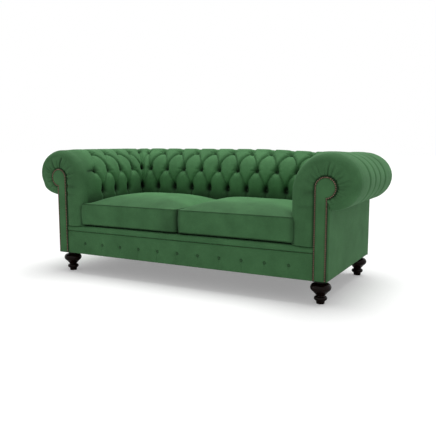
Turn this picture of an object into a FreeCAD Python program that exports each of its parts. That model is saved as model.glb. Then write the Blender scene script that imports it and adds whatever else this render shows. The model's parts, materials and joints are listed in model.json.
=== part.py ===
"""A two-cushion Chesterfield sofa: rolled arms as high as the back, deep diamond buttoning inside, a
buttoned front border, nailed scroll facings and turned feet, over a plywood and rail frame with springs.

Millimetres. +Z is up, the front faces -Y and +X is to the right of someone who looks at the front.
The origin is on the floor, in the middle of the whole sofa's width and depth.
An arm and the back share one section. It is drawn in "out" and height: out is zero at the inner face
and grows towards the outer face. The arms' section turns into the back's at a mitre in each rear corner.
"""

import FreeCAD, Part
import math
import os

V = FreeCAD.Vector
UP = V(0, 0, 1)
RIGHT = V(1, 0, 0)
BACK = V(0, 1, 0)

# Main sizes
inner_half = 660.0
inner_depth = 607.0
arm_thickness = 198.0
underside_height = 122.0
seat_rise = 9.7
overrun = 5.0
touch_gap = 0.3

# The section of an arm and of the back
shoulder_height = 555.0
shoulder_radius = 190.0
roll_radius = 131.0
roll_centre_out = 209.0
roll_centre_height = 604.0
corner_turn_out = 120.0
pad_thickness = 50.0
outer_steps = 6

# Deep buttoning: three rows, with the middle one half a pitch along
row_c_height = 498.0
row_b_angle = 20.3
row_a_angle = 59.0
row_c_sink = 8.0
row_b_sink = 20.0
row_a_sink = 12.0
row_c_rise = 9.0
crown_rise = 12.0
pleat_sink = 8.0
hem_sink = 9.0
hem_rise = -3.0
back_half_columns = 9
back_corner_gap = 63.0
arm_gap_count = 7
arm_first_column = 127.5
arm_last_gap = 29.0
back_corner_shares = (0.42, 0.66, 1.0)
arm_corner_shares = (0.35, 1.0)

# Angles, counted from outwards to upwards
top_angle = 90.0
inner_angle = 180.0
full_turn = 360.0

# Padded front of an arm, and its keyhole facing
rim_setback = 43.0
cap_shares = (0.12, 0.35, 1.0)
cap_setback_shares = (0.46, 0.14, 0.0)
facing_radius = 56.5
facing_centre_out = 178.5
facing_centre_height = 581.0
facing_neck_width = 69.0
facing_thickness = 8.0
tack_margin = 5.5
plug_margin = 10.0
front_pad_thickness = 12.0
head_angles = (inner_angle, 140.0, 100.0, 60.0, 30.0, 0.0, -30.0, -60.0)

# Nails and buttons
nail_radius = 3.6
nail_height = 2.6
nail_pitch = 9.7
nail_edge = 6.0
button_radius = 10.5
button_cone = 13.0
button_height = 5.5
corner_button_sink = 4.0
corner_button_reach = 60.0
border_button_radius = 9.5
border_button_height = 5.0
border_button_pitch = 131.0
border_button_count = 11
border_button_up = 65.5
border_dimple_radius = 22.0
border_dimple_depth = 5.0
border_groove_width = 5.0
border_groove_depth = 1.5

# Front border and the lip above it
lip_height = 34.0
lip_bulge = 4.0
lip_depth = 62.0
lip_round = 12.0
lip_foot = 18.0
panel_thickness = 6.0

# Frame
board_thickness = 25.0
front_rail_thickness = 45.0
rail_height = 126.0
dust_cover_thickness = 2.0
rib_thickness = 18.0
arm_rib_count = 2
back_rib_count = 5
back_rib_pitch = 260.0
rib_hole_radius = 38.0
post_size = 31.0
top_rail_width = 50.0
top_rail_height = 30.0
top_rail_out = 150.0
top_rail_up = 650.0
strap_count = 4
strap_width = 35.0
strap_margin = 13.0
strap_thickness = 2.0
foot_block_height = 40.0
foot_block_length = 60.0

# Sprung seat
spring_count = 10
spring_wire_radius = 1.9
spring_half_bar = 12.0
spring_turn_count = 20
clip_length = 16.0
clip_width = 12.0
clip_height = 9.0
clip_clearance = 0.15
deck_thickness = 32.7
platform_underlap = 40.0
platform_edge = 14.0

# Feet
foot_inset = 52.0
front_foot_setback = 59.0
rear_foot_setback = 42.0
foot_radius = 52.5
glide_radius = 16.0
glide_height = 3.0
bolt_radius = 4.0
bolt_clearance = 0.3
bolt_in_foot = 50.0
bolt_above_nut = 4.0
tee_nut_radius = 10.0
tee_nut_height = 2.0
foot_shares = (
    (0.38, 0.0), (0.43, 0.13), (0.63, 0.21), (0.44, 0.315), (0.41, 0.335),
    (0.6, 0.435), (0.84, 0.535), (1.0, 0.67), (0.62, 0.845), (0.52, 0.87), (0.5, 1.0),
)

# Seat cushions
cushion_setback = 13.0
cushion_side_gap = 12.0
cushion_rear_gap = 17.0
cushion_middle_gap = 4.0
cushion_height = 122.0
cushion_crown = 54.0
cushion_corner_radius = 18.0
corner_growth_share = 0.15
cushion_draw_in = 5.0
crown_shares = ((0.0, 0.0), (0.2, 0.5), (0.56, 0.86), (1.0, 1.0))
crown_run = 230.0
cover_thickness = 14.0
piping_radius = 2.5
zip_length = 420.0
zip_width = 12.0
zip_thickness = 3.0

# Places that follow from the sizes above
top_height = shoulder_height + shoulder_radius
tuck_out = arm_thickness - panel_thickness
tuck_height = roll_centre_height - roll_radius
frame_bottom = underside_height + dust_cover_thickness
rail_top = frame_bottom + rail_height
deck_height = rail_top + clip_height + touch_gap + deck_thickness
seat_height = deck_height + seat_rise
lip_seam_height = deck_height - lip_height
frame_out = tuck_out - touch_gap
frame_in = pad_thickness + strap_thickness + 2 * touch_gap
post_in = frame_out - post_size
back_half_pitch = (inner_half - back_corner_gap) / back_half_columns
arm_half_pitch = (inner_depth - arm_first_column - arm_last_gap) / arm_gap_count


def save(name, *solids):
    """Writes one node's solids to its STEP file."""
    for solid in solids:
        if not solid.isValid() or solid.Volume <= 0:
            print("PROBLEM", name, solid.isValid(), solid.Volume)
    shape = solids[0] if len(solids) == 1 else Part.makeCompound(list(solids))
    shape.exportStep("parts/" + name + ".step")


def box(x0, x1, y0, y1, z0, z1):
    return Part.makeBox(x1 - x0, y1 - y0, z1 - z0, V(x0, y0, z0))


def mirrored(shape):
    return shape.mirror(V(0, 0, 0), RIGHT)


def both_sides(name, right):
    save(name + "_right", *right)
    save(name + "_left", *[mirrored(solid) for solid in right])


def lerp(a, b, share):
    return a + (b - a) * share


def on_circle(centre_out, centre_height, radius, degrees):
    angle = math.radians(degrees)
    return centre_out + radius * math.cos(angle), centre_height + radius * math.sin(angle)


def section_rows():
    """The section's points from the hem to the tuck: out, height, normal, sink and rise."""
    rows = [
        (0, deck_height + touch_gap, (-1, 0), hem_sink, hem_rise),
        (0, row_c_height, (-1, 0), row_c_sink, row_c_rise),
    ]
    for angle, sink in ((row_b_angle, row_b_sink), (row_a_angle, row_a_sink)):
        out, height = on_circle(shoulder_radius, shoulder_height, shoulder_radius, inner_angle - angle)
        normal = (-math.cos(math.radians(angle)), math.sin(math.radians(angle)))
        rows.append((out, height, normal, sink, crown_rise))
    rows.append((shoulder_radius, top_height, (0, 1), pleat_sink, crown_rise))
    for step in range(1, outer_steps + 1):
        angle = top_angle - inner_angle * step / outer_steps
        out, height = on_circle(roll_centre_out, roll_centre_height, roll_radius, angle)
        normal = (math.cos(math.radians(angle)), math.sin(math.radians(angle)))
        left = (outer_steps - step) / outer_steps
        rows.append((out, height, normal, pleat_sink * min(1, 2 * left), crown_rise * left))
    rows.append((tuck_out, tuck_height, (0, -1), 0, 0))
    return rows


ROWS = section_rows()
ROW_C, ROW_B, ROW_A = 1, 2, 3
LAST_ROW = len(ROWS) - 1


def raised(row, height):
    """The section's point at a row, moved along its normal."""
    out, up, normal, _, _ = ROWS[row]
    return out + normal[0] * height, up + normal[1] * height


widest = max(raised(row, ROWS[row][4])[0] for row in range(LAST_ROW))
front_reach = facing_thickness + nail_height
y_front = front_reach - (front_reach + inner_depth + widest) / 2
y_inner = y_front + inner_depth
y_outer = y_inner + arm_thickness
x_outer = inner_half + arm_thickness
board_front = y_front + front_pad_thickness
board_back = board_front + board_thickness
rear_rail_front = y_inner + frame_out - board_thickness
side_rail_inside = inner_half + frame_out - board_thickness


def round_corner(run, out, share):
    """Steps from a straight column towards the mitre, as (along, across) beside the inner corner.

    run is the straight stretch left before the inner corner. Past corner_turn_out the way bends round it.
    """
    if out <= corner_turn_out:
        return (run + out) * share - run, out
    radius = out - corner_turn_out
    straight = run + corner_turn_out
    gone = (straight + radius * math.pi / 4) * share
    if gone <= straight:
        return gone - run, out
    angle = (gone - straight) / radius
    return corner_turn_out + radius * math.sin(angle), corner_turn_out + radius * math.cos(angle)


ARM_STRAIGHT = arm_gap_count + 1
ARM_LAST = ARM_STRAIGHT + len(arm_corner_shares)
ARM_COLUMNS = list(range(ARM_LAST + 1))
BACK_LAST = back_half_columns + len(back_corner_shares)
BACK_COLUMNS = list(range(-BACK_LAST, BACK_LAST + 1))


def arm_point(column, out, up):
    """A point of the right arm. Column 0 is the front rim and column 1 the first button of the middle row."""
    if column == 0:
        return V(inner_half + out, y_front + rim_setback, up)
    if column <= ARM_STRAIGHT:
        along = y_front + arm_first_column + (column - 1) * arm_half_pitch
        return V(inner_half + out, along, up)
    along, across = round_corner(arm_last_gap, out, arm_corner_shares[column - ARM_STRAIGHT - 1])
    return V(inner_half + across, y_inner + along, up)


def back_point(column, out, up):
    """A point of the back. Column 0 is in the middle, columns to its left count below zero."""
    side = -1 if column < 0 else 1
    column = abs(column)
    if column <= back_half_columns:
        return V(side * column * back_half_pitch, y_inner + out, up)
    share = back_corner_shares[column - back_half_columns - 1]
    along, across = round_corner(back_corner_gap, out, share)
    return V(side * (inner_half + along), y_inner + across, up)


def arm_is_low(column, row):
    """Whether a button or a pleat lies at this place on an arm."""
    if column == ARM_LAST:
        return True
    if row == ROW_B:
        return column % 2 == 1 and column <= ARM_STRAIGHT
    if row <= ROW_C and column == ARM_STRAIGHT:
        return False
    return column % 2 == 0 and column > 0


def back_is_low(column, row):
    """Whether a button or a pleat lies at this place on the back."""
    column = abs(column)
    if column == BACK_LAST:
        return True
    if row == ROW_B:
        return column % 2 == 1 and column <= back_half_columns
    if row <= ROW_C and column > back_half_columns:
        return False
    return column % 2 == 0


def tuft(column, row, is_low, rim_column):
    if column == rim_column:
        return 0
    _, _, _, sink, rise = ROWS[row]
    return -sink if is_low(column, row) else rise


def face(points):
    return Part.Face(Part.makePolygon(points + points[:1]))


def quad(a, b, c, d, low_ac):
    """Two triangles that meet along a-c where low_ac is true, and along b-d otherwise."""
    if low_ac:
        return [face([a, b, c]), face([a, c, d])]
    return [face([a, b, d]), face([b, c, d])]


def skin(place, columns, is_low, rim_column=None):
    """The buttoned outside: a grid of vertices, and its triangles, folded along the creases."""
    heights = {
        (column, row): tuft(column, row, is_low, rim_column)
        for column in columns
        for row in range(LAST_ROW + 1)
    }
    grid = {key: place(key[0], *raised(key[1], height)) for key, height in heights.items()}
    faces = []
    for column, following in zip(columns, columns[1:]):
        for row in range(LAST_ROW):
            corners = ((column, row), (following, row), (following, row + 1), (column, row + 1))
            a, b, c, d = [heights[corner] for corner in corners]
            faces += quad(*[grid[corner] for corner in corners], a + c <= b + d)
    return grid, faces


def lining(place, columns):
    """The pad's inside, one pad thickness in, as a grid of vertices and its faces."""
    grid = {
        (column, row): place(column, *raised(row, -pad_thickness))
        for column in columns
        for row in range(LAST_ROW + 1)
    }
    faces = []
    for column, following in zip(columns, columns[1:]):
        for row in range(LAST_ROW):
            corners = [(column, row), (following, row), (following, row + 1), (column, row + 1)]
            faces += quad(*[grid[corner] for corner in corners], True)
    return grid, faces


def edge_strip(outside, inside, columns, row):
    """The narrow faces that close a pad along its hem or its tuck."""
    faces = []
    for column, following in zip(columns, columns[1:]):
        corners = [outside[column, row], outside[following, row], inside[following, row], inside[column, row]]
        faces += quad(*corners, True)
    return faces


def end_strip(outside, inside, column):
    """The flat end of a pad, in the mitre plane."""
    rows = range(LAST_ROW + 1)
    return face([outside[column, row] for row in rows] + [inside[column, row] for row in reversed(rows)])


def solid_of(faces):
    shell = Part.Shell(faces)
    shell.sewShape()
    solid = Part.Solid(shell)
    if solid.Volume < 0:
        solid.reverse()
    return solid.removeSplitter()


def back_pad():
    outside, faces = skin(back_point, BACK_COLUMNS, back_is_low)
    inside, more = lining(back_point, BACK_COLUMNS)
    faces += more
    for column in (BACK_COLUMNS[0], BACK_COLUMNS[-1]):
        faces.append(end_strip(outside, inside, column))
    for row in (0, LAST_ROW):
        faces += edge_strip(outside, inside, BACK_COLUMNS, row)
    return solid_of(faces).cut(Part.makeCompound(corner_seats(1) + corner_seats(-1)))


def keyhole_point(row, inset):
    """The facing's outline beside a row of the section, moved in by inset."""
    radius = facing_radius - inset
    neck_inner = facing_centre_out - radius
    neck_outer = facing_centre_out - facing_radius + facing_neck_width - inset
    if row <= ROW_C:
        return neck_inner, ROWS[row][1]
    if row == LAST_ROW:
        return neck_outer, tuck_height
    if row == LAST_ROW - 1:
        drop = math.sqrt(radius ** 2 - (neck_outer - facing_centre_out) ** 2)
        return neck_outer, facing_centre_height - drop
    return on_circle(facing_centre_out, facing_centre_height, radius, head_angles[row - ROW_B])


def cap_rings(rim):
    """The rounded front of an arm: rings of points from the rim in to the edge that the facing covers."""
    rings = [rim]
    for share, setback in zip(cap_shares, cap_setback_shares):
        ring = []
        for row in range(LAST_ROW):
            out, up = ROWS[row][:2]
            key_out, key_up = keyhole_point(row, tack_margin)
            y = y_front + rim_setback * setback
            ring.append(V(inner_half + lerp(out, key_out, share), y, lerp(up, key_up, share)))
        # Under the roll the pad stays on the outer face until it reaches the board
        if share == 1:
            ring.append(V(inner_half + keyhole_point(LAST_ROW, tack_margin)[0], y_front, tuck_height))
        else:
            y = max(y_front + rim_setback * setback, board_front)
            ring.append(V(inner_half + tuck_out, y, tuck_height))
        rings.append(ring)
    return rings


def arm_pad():
    outside, faces = skin(arm_point, ARM_COLUMNS, arm_is_low, rim_column=0)

    def lining_point(column, out, up):
        return V(inner_half + out, board_front, up) if column == 0 else arm_point(column, out, up)

    inside, more = lining(lining_point, ARM_COLUMNS)
    faces += more
    faces.append(end_strip(outside, inside, ARM_LAST))
    rings = cap_rings([outside[0, row] for row in range(LAST_ROW + 1)])
    for ring, following in zip(rings, rings[1:]):
        for row in range(LAST_ROW):
            faces += quad(ring[row], following[row], following[row + 1], ring[row + 1], True)
    hole_front = rings[-1]
    hole_back = [V(point.x, board_front, point.z) for point in hole_front]
    for row in range(LAST_ROW):
        faces += quad(hole_front[row], hole_back[row], hole_back[row + 1], hole_front[row + 1], True)
    tuck_corner = rings[-2][LAST_ROW]
    against_board = [inside[0, row] for row in range(LAST_ROW + 1)]
    faces.append(face(against_board + [tuck_corner] + hole_back[::-1]))
    faces.append(face([tuck_corner, hole_front[LAST_ROW], hole_back[LAST_ROW]]))
    straight = ARM_COLUMNS[: ARM_STRAIGHT + 1]
    wall = [ring[LAST_ROW] for ring in rings[-2::-1]] + [outside[column, LAST_ROW] for column in straight[1:]]
    faces.append(face(wall + [inside[column, LAST_ROW] for column in straight[::-1]]))
    faces += edge_strip(outside, inside, ARM_COLUMNS[ARM_STRAIGHT:], LAST_ROW)
    hem = [ring[0] for ring in rings[::-1]] + [outside[column, 0] for column in ARM_COLUMNS[1:]]
    hem += [inside[column, 0] for column in ARM_COLUMNS[::-1]] + [hole_back[0]]
    faces.append(face(hem))
    return solid_of(faces).cut(Part.makeCompound(corner_seats(1)))


def placed(shape, position, direction):
    """Turns a shape that was made upright at the origin, and moves it to its place."""
    turned = shape.copy()
    turned.Placement = FreeCAD.Placement(position, FreeCAD.Rotation(UP, direction))
    return turned


def dome(radius, height):
    """A cap of a sphere on a flat base."""
    ball = (radius ** 2 + height ** 2) / (2 * height)
    half = math.asin(radius / ball) / 2
    middle = V(ball * math.sin(half), 0, height - ball + ball * math.cos(half))
    arc = Part.Arc(V(radius, 0, 0), middle, V(0, 0, height)).toShape()
    lines = [Part.makeLine(V(0, 0, height), V(0, 0, 0)), Part.makeLine(V(0, 0, 0), V(radius, 0, 0))]
    return Part.Face(Part.Wire([arc] + lines)).revolve(V(0, 0, 0), UP, full_turn)


def pit_button():
    """A covered button with a tapered back, which sits in the pit of four diamonds."""
    cap = dome(button_radius, button_height)
    cap.translate(V(0, 0, button_cone))
    return Part.makeCone(0, button_radius, button_cone).fuse(cap).removeSplitter()


def corner_button_places(side):
    """Positions and directions of the three buttons in a rear corner."""
    places = []
    for row in (ROW_C, ROW_B, ROW_A):
        point = back_point(BACK_LAST, *raised(row, -ROWS[row][3]))
        out, up = ROWS[row][2]
        direction = V(side * out, out, 2 * up).normalize()
        places.append((V(side * point.x, point.y, point.z), direction))
    return places


def corner_seats(side):
    """The round seats of the corner buttons, to be cut from the pads."""
    seat = Part.makeCylinder(button_radius + touch_gap, corner_button_reach, V(0, 0, -corner_button_sink))
    return [placed(seat, *place) for place in corner_button_places(side)]


def corner_buttons(side):
    button = dome(button_radius, button_height)
    button.translate(V(0, 0, touch_gap - corner_button_sink))
    return [placed(button, *place) for place in corner_button_places(side)]


def pit_buttons(place, columns, is_low, side_vector):
    """The buttons of a pad, apart from those on the mitre and above the third row."""
    buttons = []
    for column in columns:
        for row in (ROW_C, ROW_B, ROW_A):
            if is_low(column, row):
                _, _, (out, up), sink, _ = ROWS[row]
                position = place(column, *raised(row, touch_gap - sink))
                buttons.append(placed(pit_button(), position, side_vector * out + UP * up))
    return buttons


def keyhole(inset, y0, y1):
    """A keyhole-shaped plate on the right arm: a round head on a straight neck."""
    radius = facing_radius - inset
    centre = inner_half + facing_centre_out
    inner = centre - radius
    outer = centre - facing_radius + facing_neck_width - inset
    last = -math.degrees(math.acos((outer - centre) / radius))

    def at(angle):
        x, z = on_circle(centre, facing_centre_height, radius, angle)
        return V(x, y0, z)

    edges = [
        Part.makeLine(V(inner, y0, underside_height), at(inner_angle)),
        Part.Arc(at(inner_angle), at((inner_angle + top_angle) / 2), at(top_angle)).toShape(),
        Part.Arc(at(top_angle), at((top_angle + last) / 2), at(last)).toShape(),
        Part.makeLine(at(last), V(outer, y0, underside_height)),
        Part.makeLine(V(outer, y0, underside_height), V(inner, y0, underside_height)),
    ]
    return Part.Face(Part.Wire(edges)).extrude(BACK * (y1 - y0))


def facing():
    plate = keyhole(0, y_front - facing_thickness, y_front)
    return plate.fuse(keyhole(plug_margin, y_front, board_front)).removeSplitter()


def nails():
    """Domed nails at an even pitch up the neck, round the head and down again."""
    radius = facing_radius - nail_edge
    centre = inner_half + facing_centre_out
    outer = centre - facing_radius + facing_neck_width - nail_edge
    last = -math.acos((outer - centre) / radius)
    low = underside_height + nail_edge + nail_radius
    join = facing_centre_height + radius * math.sin(last)
    first_run = facing_centre_height - low
    head_run = radius * (math.pi - last)
    count = round((first_run + head_run + join - low) / nail_pitch)
    nail = dome(nail_radius, nail_height)
    solids = []
    for index in range(count + 1):
        gone = (first_run + head_run + join - low) * index / count
        if gone <= first_run:
            x, z = centre - radius, low + gone
        elif gone <= first_run + head_run:
            angle = math.pi - (gone - first_run) / radius
            x, z = centre + radius * math.cos(angle), facing_centre_height + radius * math.sin(angle)
        else:
            x, z = outer, join - (gone - first_run - head_run)
        solids.append(placed(nail, V(x, y_front - facing_thickness, z), -BACK))
    return solids


def border_button_columns():
    half = (border_button_count - 1) / 2
    return [(index - half) * border_button_pitch for index in range(border_button_count)]


def front_border():
    """The upholstered front below the seat, with a shallow pit and a pleat for every button."""
    half = inner_half + facing_centre_out - facing_radius + tack_margin
    border = box(-half, half, y_front, board_front, underside_height, lip_seam_height)
    height = underside_height + border_button_up
    for x in border_button_columns():
        middle = V(x, y_front, height)
        pit = Part.makeCone(border_dimple_radius, border_button_radius, border_dimple_depth, middle, BACK)
        low = underside_height - overrun
        outline = [
            V(x - border_groove_width, y_front, low),
            V(x, y_front + border_groove_depth, low),
            V(x + border_groove_width, y_front, low),
        ]
        border = border.cut(pit.fuse(face(outline).extrude(UP * (height - low))))
    return border


def border_buttons():
    button = dome(border_button_radius, border_button_height)
    height = underside_height + border_button_up
    y = y_front + border_dimple_depth
    return [placed(button, V(x, y, height), -BACK) for x in border_button_columns()]


def front_lip():
    """The padded ledge above the border. Its foot stands on the front rail and its ends reach the facings."""
    low = lip_seam_height + touch_gap
    over_clips = rail_top + clip_height + touch_gap
    near = y_front + lip_bulge
    far = y_front + lip_depth
    foot = board_front + lip_foot

    def at(y, z):
        return V(0, y, z)

    shoulder = deck_height - lip_round
    turn = lip_round * (1 - math.sqrt(0.5))
    crest = at(near + lip_round, deck_height)
    edges = [
        Part.Arc(at(near, low), at(y_front, (low + shoulder) / 2), at(near, shoulder)).toShape(),
        Part.Arc(at(near, shoulder), at(near + turn, deck_height - turn), crest).toShape(),
        Part.makeLine(crest, at(far, deck_height)),
        Part.makeLine(at(far, deck_height), at(far, over_clips)),
        Part.makeLine(at(far, over_clips), at(foot, over_clips)),
        Part.makeLine(at(foot, over_clips), at(foot, rail_top)),
        Part.makeLine(at(foot, rail_top), at(board_front, rail_top)),
        Part.makeLine(at(board_front, rail_top), at(board_front, low)),
        Part.makeLine(at(board_front, low), at(near, low)),
    ]
    half = inner_half + facing_centre_out - facing_radius + tack_margin
    lip = Part.Face(Part.Wire(edges)).extrude(RIGHT * 2 * half)
    lip.translate(RIGHT * -half)
    inside = inner_half + pad_thickness
    for side in (-1, 1):
        x0, x1 = sorted((side * inside, side * (half + overrun)))
        lip = lip.cut(box(x0, x1, board_front, far + overrun, rail_top - overrun, deck_height + overrun))
    return lip


def deck_pad():
    """The pad over the springs: a wide slab under the hems, and a raised middle for the cushions."""
    low = rail_top + clip_height + touch_gap
    front = y_front + lip_depth + touch_gap
    half = inner_half + platform_underlap
    slab = box(-half, half, front, y_inner + platform_underlap, low, deck_height)
    half = inner_half - platform_edge
    middle = box(-half, half, front, y_inner - platform_edge, deck_height, seat_height)
    return slab.fuse(middle).removeSplitter()


def prism(outline, y0, y1):
    """A board that lies across the sofa's depth, from an outline of (out, height) on the right arm."""
    wire = Part.makePolygon([V(inner_half + out, y0, up) for out, up in outline + outline[:1]])
    return Part.Face(wire).extrude(BACK * (y1 - y0))


def inner_outline():
    """The space inside the pads, as points from the inner face up and over to the tuck."""
    return [raised(row, -pad_thickness - touch_gap) for row in range(ROW_C, LAST_ROW)]


def board_outline(inner, bottom):
    points = inner_outline()
    points[0] = (inner, points[0][1])
    return [(inner, bottom)] + points + [(frame_out, points[-1][1]), (frame_out, bottom)]


def arm_board():
    """The scroll board: its outline follows the arm's section inside the pad."""
    return prism(board_outline(pad_thickness + touch_gap, frame_bottom), board_front, board_back)


def rib(along):
    """A plywood rib of the arm's section. It stands on two rails and carries the top rail in a notch."""
    y0 = y_front + along - rib_thickness / 2
    panel = prism(board_outline(frame_in, rail_top), y0, y0 + rib_thickness)
    deep = rib_thickness + 2 * overrun
    centre = V(inner_half + (frame_in + frame_out) / 2, y0 - overrun, (rail_top + row_c_height) / 2)
    left = inner_half + top_rail_out
    notch = box(left, left + top_rail_width, y0 - overrun, y0 - overrun + deep, top_rail_up, top_height)
    return panel.cut(Part.makeCylinder(rib_hole_radius, deep, centre, BACK).fuse(notch))


def to_back(shape):
    """Turns an arm's piece round its corner, so that its section faces the way the back does."""
    turned = shape.copy()
    turned.rotate(V(inner_half, y_inner, 0), UP, top_angle)
    return turned


def arm_ribs():
    span = inner_depth - (board_back - y_front)
    first = board_back - y_front
    return [rib(first + span * (index + 1) / (arm_rib_count + 1)) for index in range(arm_rib_count)]


def back_ribs():
    half = (back_rib_count - 1) / 2
    middle = inner_depth + inner_half
    return [to_back(rib(middle - (index - half) * back_rib_pitch)) for index in range(back_rib_count)]


def arm_top_rail():
    left = inner_half + top_rail_out
    back = y_inner + top_rail_out + top_rail_width
    return box(left, left + top_rail_width, board_back, back, top_rail_up, top_rail_up + top_rail_height)


def back_top_rail():
    half = inner_half + top_rail_out
    front = y_inner + top_rail_out
    return box(-half, half, front, front + top_rail_width, top_rail_up, top_rail_up + top_rail_height)


def strap_heights():
    low = deck_height + strap_margin
    high = row_c_height - strap_margin - strap_width
    return [lerp(low, high, index / (strap_count - 1)) for index in range(strap_count)]


def arm_webbing():
    """Webbing straps stretched along the arm, over the board's and the ribs' inner edges."""
    x0 = inner_half + frame_in - touch_gap - strap_thickness
    y1 = y_inner + frame_in - touch_gap - strap_thickness - touch_gap
    x1 = x0 + strap_thickness
    return [box(x0, x1, board_back + touch_gap, y1, z, z + strap_width) for z in strap_heights()]


def back_webbing():
    half = inner_half + frame_in - touch_gap
    y0 = y_inner + frame_in - touch_gap - strap_thickness
    return [box(-half, half, y0, y0 + strap_thickness, z, z + strap_width) for z in strap_heights()]


def rails():
    """The rails of the seat and the rear posts."""
    half = inner_half + pad_thickness
    front = board_front + front_rail_thickness
    save("front_rail", box(-half, half, board_front, front, frame_bottom, rail_top))
    rear_end = y_inner + post_in
    side = box(side_rail_inside, inner_half + frame_out, board_back, rear_end, frame_bottom, rail_top)
    both_sides("outer_side_rail", [side])
    left = inner_half + frame_in
    inner = box(left, left + board_thickness, board_back, y_inner + frame_in, frame_bottom, rail_top)
    both_sides("inner_side_rail", [inner])
    half = side_rail_inside
    front = y_inner + frame_in
    save("rear_seat_rail", box(-half, half, front, front + board_thickness, frame_bottom, rail_top))
    half = inner_half + post_in
    save("rear_rail", box(-half, half, rear_rail_front, y_inner + frame_out, frame_bottom, rail_top))
    both_sides("rear_post", [rear_post()])


def rear_post():
    left = inner_half + post_in
    front = y_inner + post_in
    top = tuck_height - touch_gap
    return box(left, left + post_size, front, front + post_size, frame_bottom, top)


def outside_arm_panel():
    """The flat outer face of an arm, folded round its front edge up to the facing."""
    top = tuck_height - touch_gap
    side = box(inner_half + tuck_out, x_outer, y_front, y_outer - panel_thickness, underside_height, top)
    left = inner_half + facing_centre_out - facing_radius + facing_neck_width - tack_margin
    fold = box(left, inner_half + tuck_out, y_front, board_front, underside_height, top)
    return side.fuse(fold).removeSplitter()


def outside_back_panel():
    top = tuck_height - touch_gap
    return box(-x_outer, x_outer, y_outer - panel_thickness, y_outer, underside_height, top)


def foot_places():
    """Foot centres on the right side, with their names."""
    x = x_outer - foot_inset
    return (("front", V(x, y_front + front_foot_setback, 0)), ("rear", V(x, y_outer - rear_foot_setback, 0)))


def bolt_hole(centre, low, high):
    return Part.makeCylinder(bolt_radius + bolt_clearance, high - low, V(centre.x, centre.y, low))


def foot(centre):
    """A turned foot: a ring, a flare that opens to a bun, and a short neck, with a glide let into its sole."""
    points = [V(foot_radius * r, 0, frame_bottom * h) for r, h in foot_shares]
    edges = [Part.makeLine(V(0, 0, 0), points[0]), Part.makeLine(points[0], points[1])]
    edges.append(Part.Arc(points[1], points[2], points[3]).toShape())
    edges.append(Part.makeLine(points[3], points[4]))
    edges.append(Part.Arc(points[4], points[5], points[6]).toShape())
    edges.append(Part.Arc(points[6], points[7], points[8]).toShape())
    edges.append(Part.makeLine(points[8], points[9]))
    edges.append(Part.makeLine(points[9], points[10]))
    edges.append(Part.makeLine(points[10], V(0, 0, frame_bottom)))
    edges.append(Part.makeLine(V(0, 0, frame_bottom), V(0, 0, 0)))
    solid = Part.Face(Part.Wire(edges)).revolve(V(0, 0, 0), UP, full_turn)
    pocket = Part.makeCylinder(glide_radius + touch_gap, glide_height + overrun, V(0, 0, -overrun))
    solid = solid.cut(pocket)
    solid.translate(centre)
    return solid.cut(bolt_hole(centre, frame_bottom - bolt_in_foot, frame_bottom + overrun))


def foot_block(name, centre):
    """A corner block between the rails. The rear one is notched round the post."""
    left = inner_half + frame_in + board_thickness
    if name == "front":
        y0, y1 = board_back, board_back + foot_block_length
    else:
        y0, y1 = y_inner + frame_in + board_thickness, rear_rail_front
    block = box(left, side_rail_inside, y0, y1, frame_bottom, frame_bottom + foot_block_height)
    block = block.cut(bolt_hole(centre, frame_bottom - overrun, frame_bottom + foot_block_height + overrun))
    return block.cut(rear_post()) if name == "rear" else block


def feet():
    blocks, bolts, nuts, glides = [], [], [], []
    nut_low = frame_bottom + foot_block_height
    for name, centre in foot_places():
        solid = foot(centre)
        save(name + "_foot_right", solid)
        save(name + "_foot_left", mirrored(solid))
        blocks.append(foot_block(name, centre))
        low = frame_bottom - bolt_in_foot
        high = nut_low + tee_nut_height + bolt_above_nut
        bolts.append(Part.makeCylinder(bolt_radius, high - low, V(centre.x, centre.y, low)))
        nut = Part.makeCylinder(tee_nut_radius, tee_nut_height, V(centre.x, centre.y, nut_low))
        nuts.append(nut.cut(bolt_hole(centre, nut_low - overrun, nut_low + overrun)))
        glides.append(Part.makeCylinder(glide_radius, glide_height, centre))
    groups = (("foot_blocks", blocks), ("foot_bolts", bolts), ("tee_nuts", nuts), ("glides", glides))
    for name, solids in groups:
        save(name, *(solids + [mirrored(solid) for solid in solids]))


def dust_cover():
    """The cloth under the frame, with round openings for the necks of the feet."""
    half = x_outer - panel_thickness
    cloth = box(-half, half, board_front, y_outer - panel_thickness, underside_height, frame_bottom)
    for side in (-1, 1):
        for name, centre in foot_places():
            radius = foot_radius * foot_shares[-2][0] + touch_gap
            low = V(side * centre.x, centre.y, underside_height - overrun)
            cloth = cloth.cut(Part.makeCylinder(radius, dust_cover_thickness + 2 * overrun, low))
    return cloth


def spring_path(x, front, rear, height):
    """One zigzag wire from the front rail to the rear seat rail."""
    radius = (rear - front) / (2 * spring_turn_count)
    edges = []
    for index in range(spring_turn_count + 1):
        y = front + 2 * radius * index
        side = 1 if index % 2 == 0 else -1
        start = V(x - side * spring_half_bar, y, height)
        end = V(x + side * spring_half_bar, y, height)
        edges.append(Part.makeLine(start, end))
        if index < spring_turn_count:
            middle = end + V(side * radius, radius, 0)
            edges.append(Part.Arc(end, middle, end + V(0, 2 * radius, 0)).toShape())
    return Part.Wire(edges)


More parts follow.
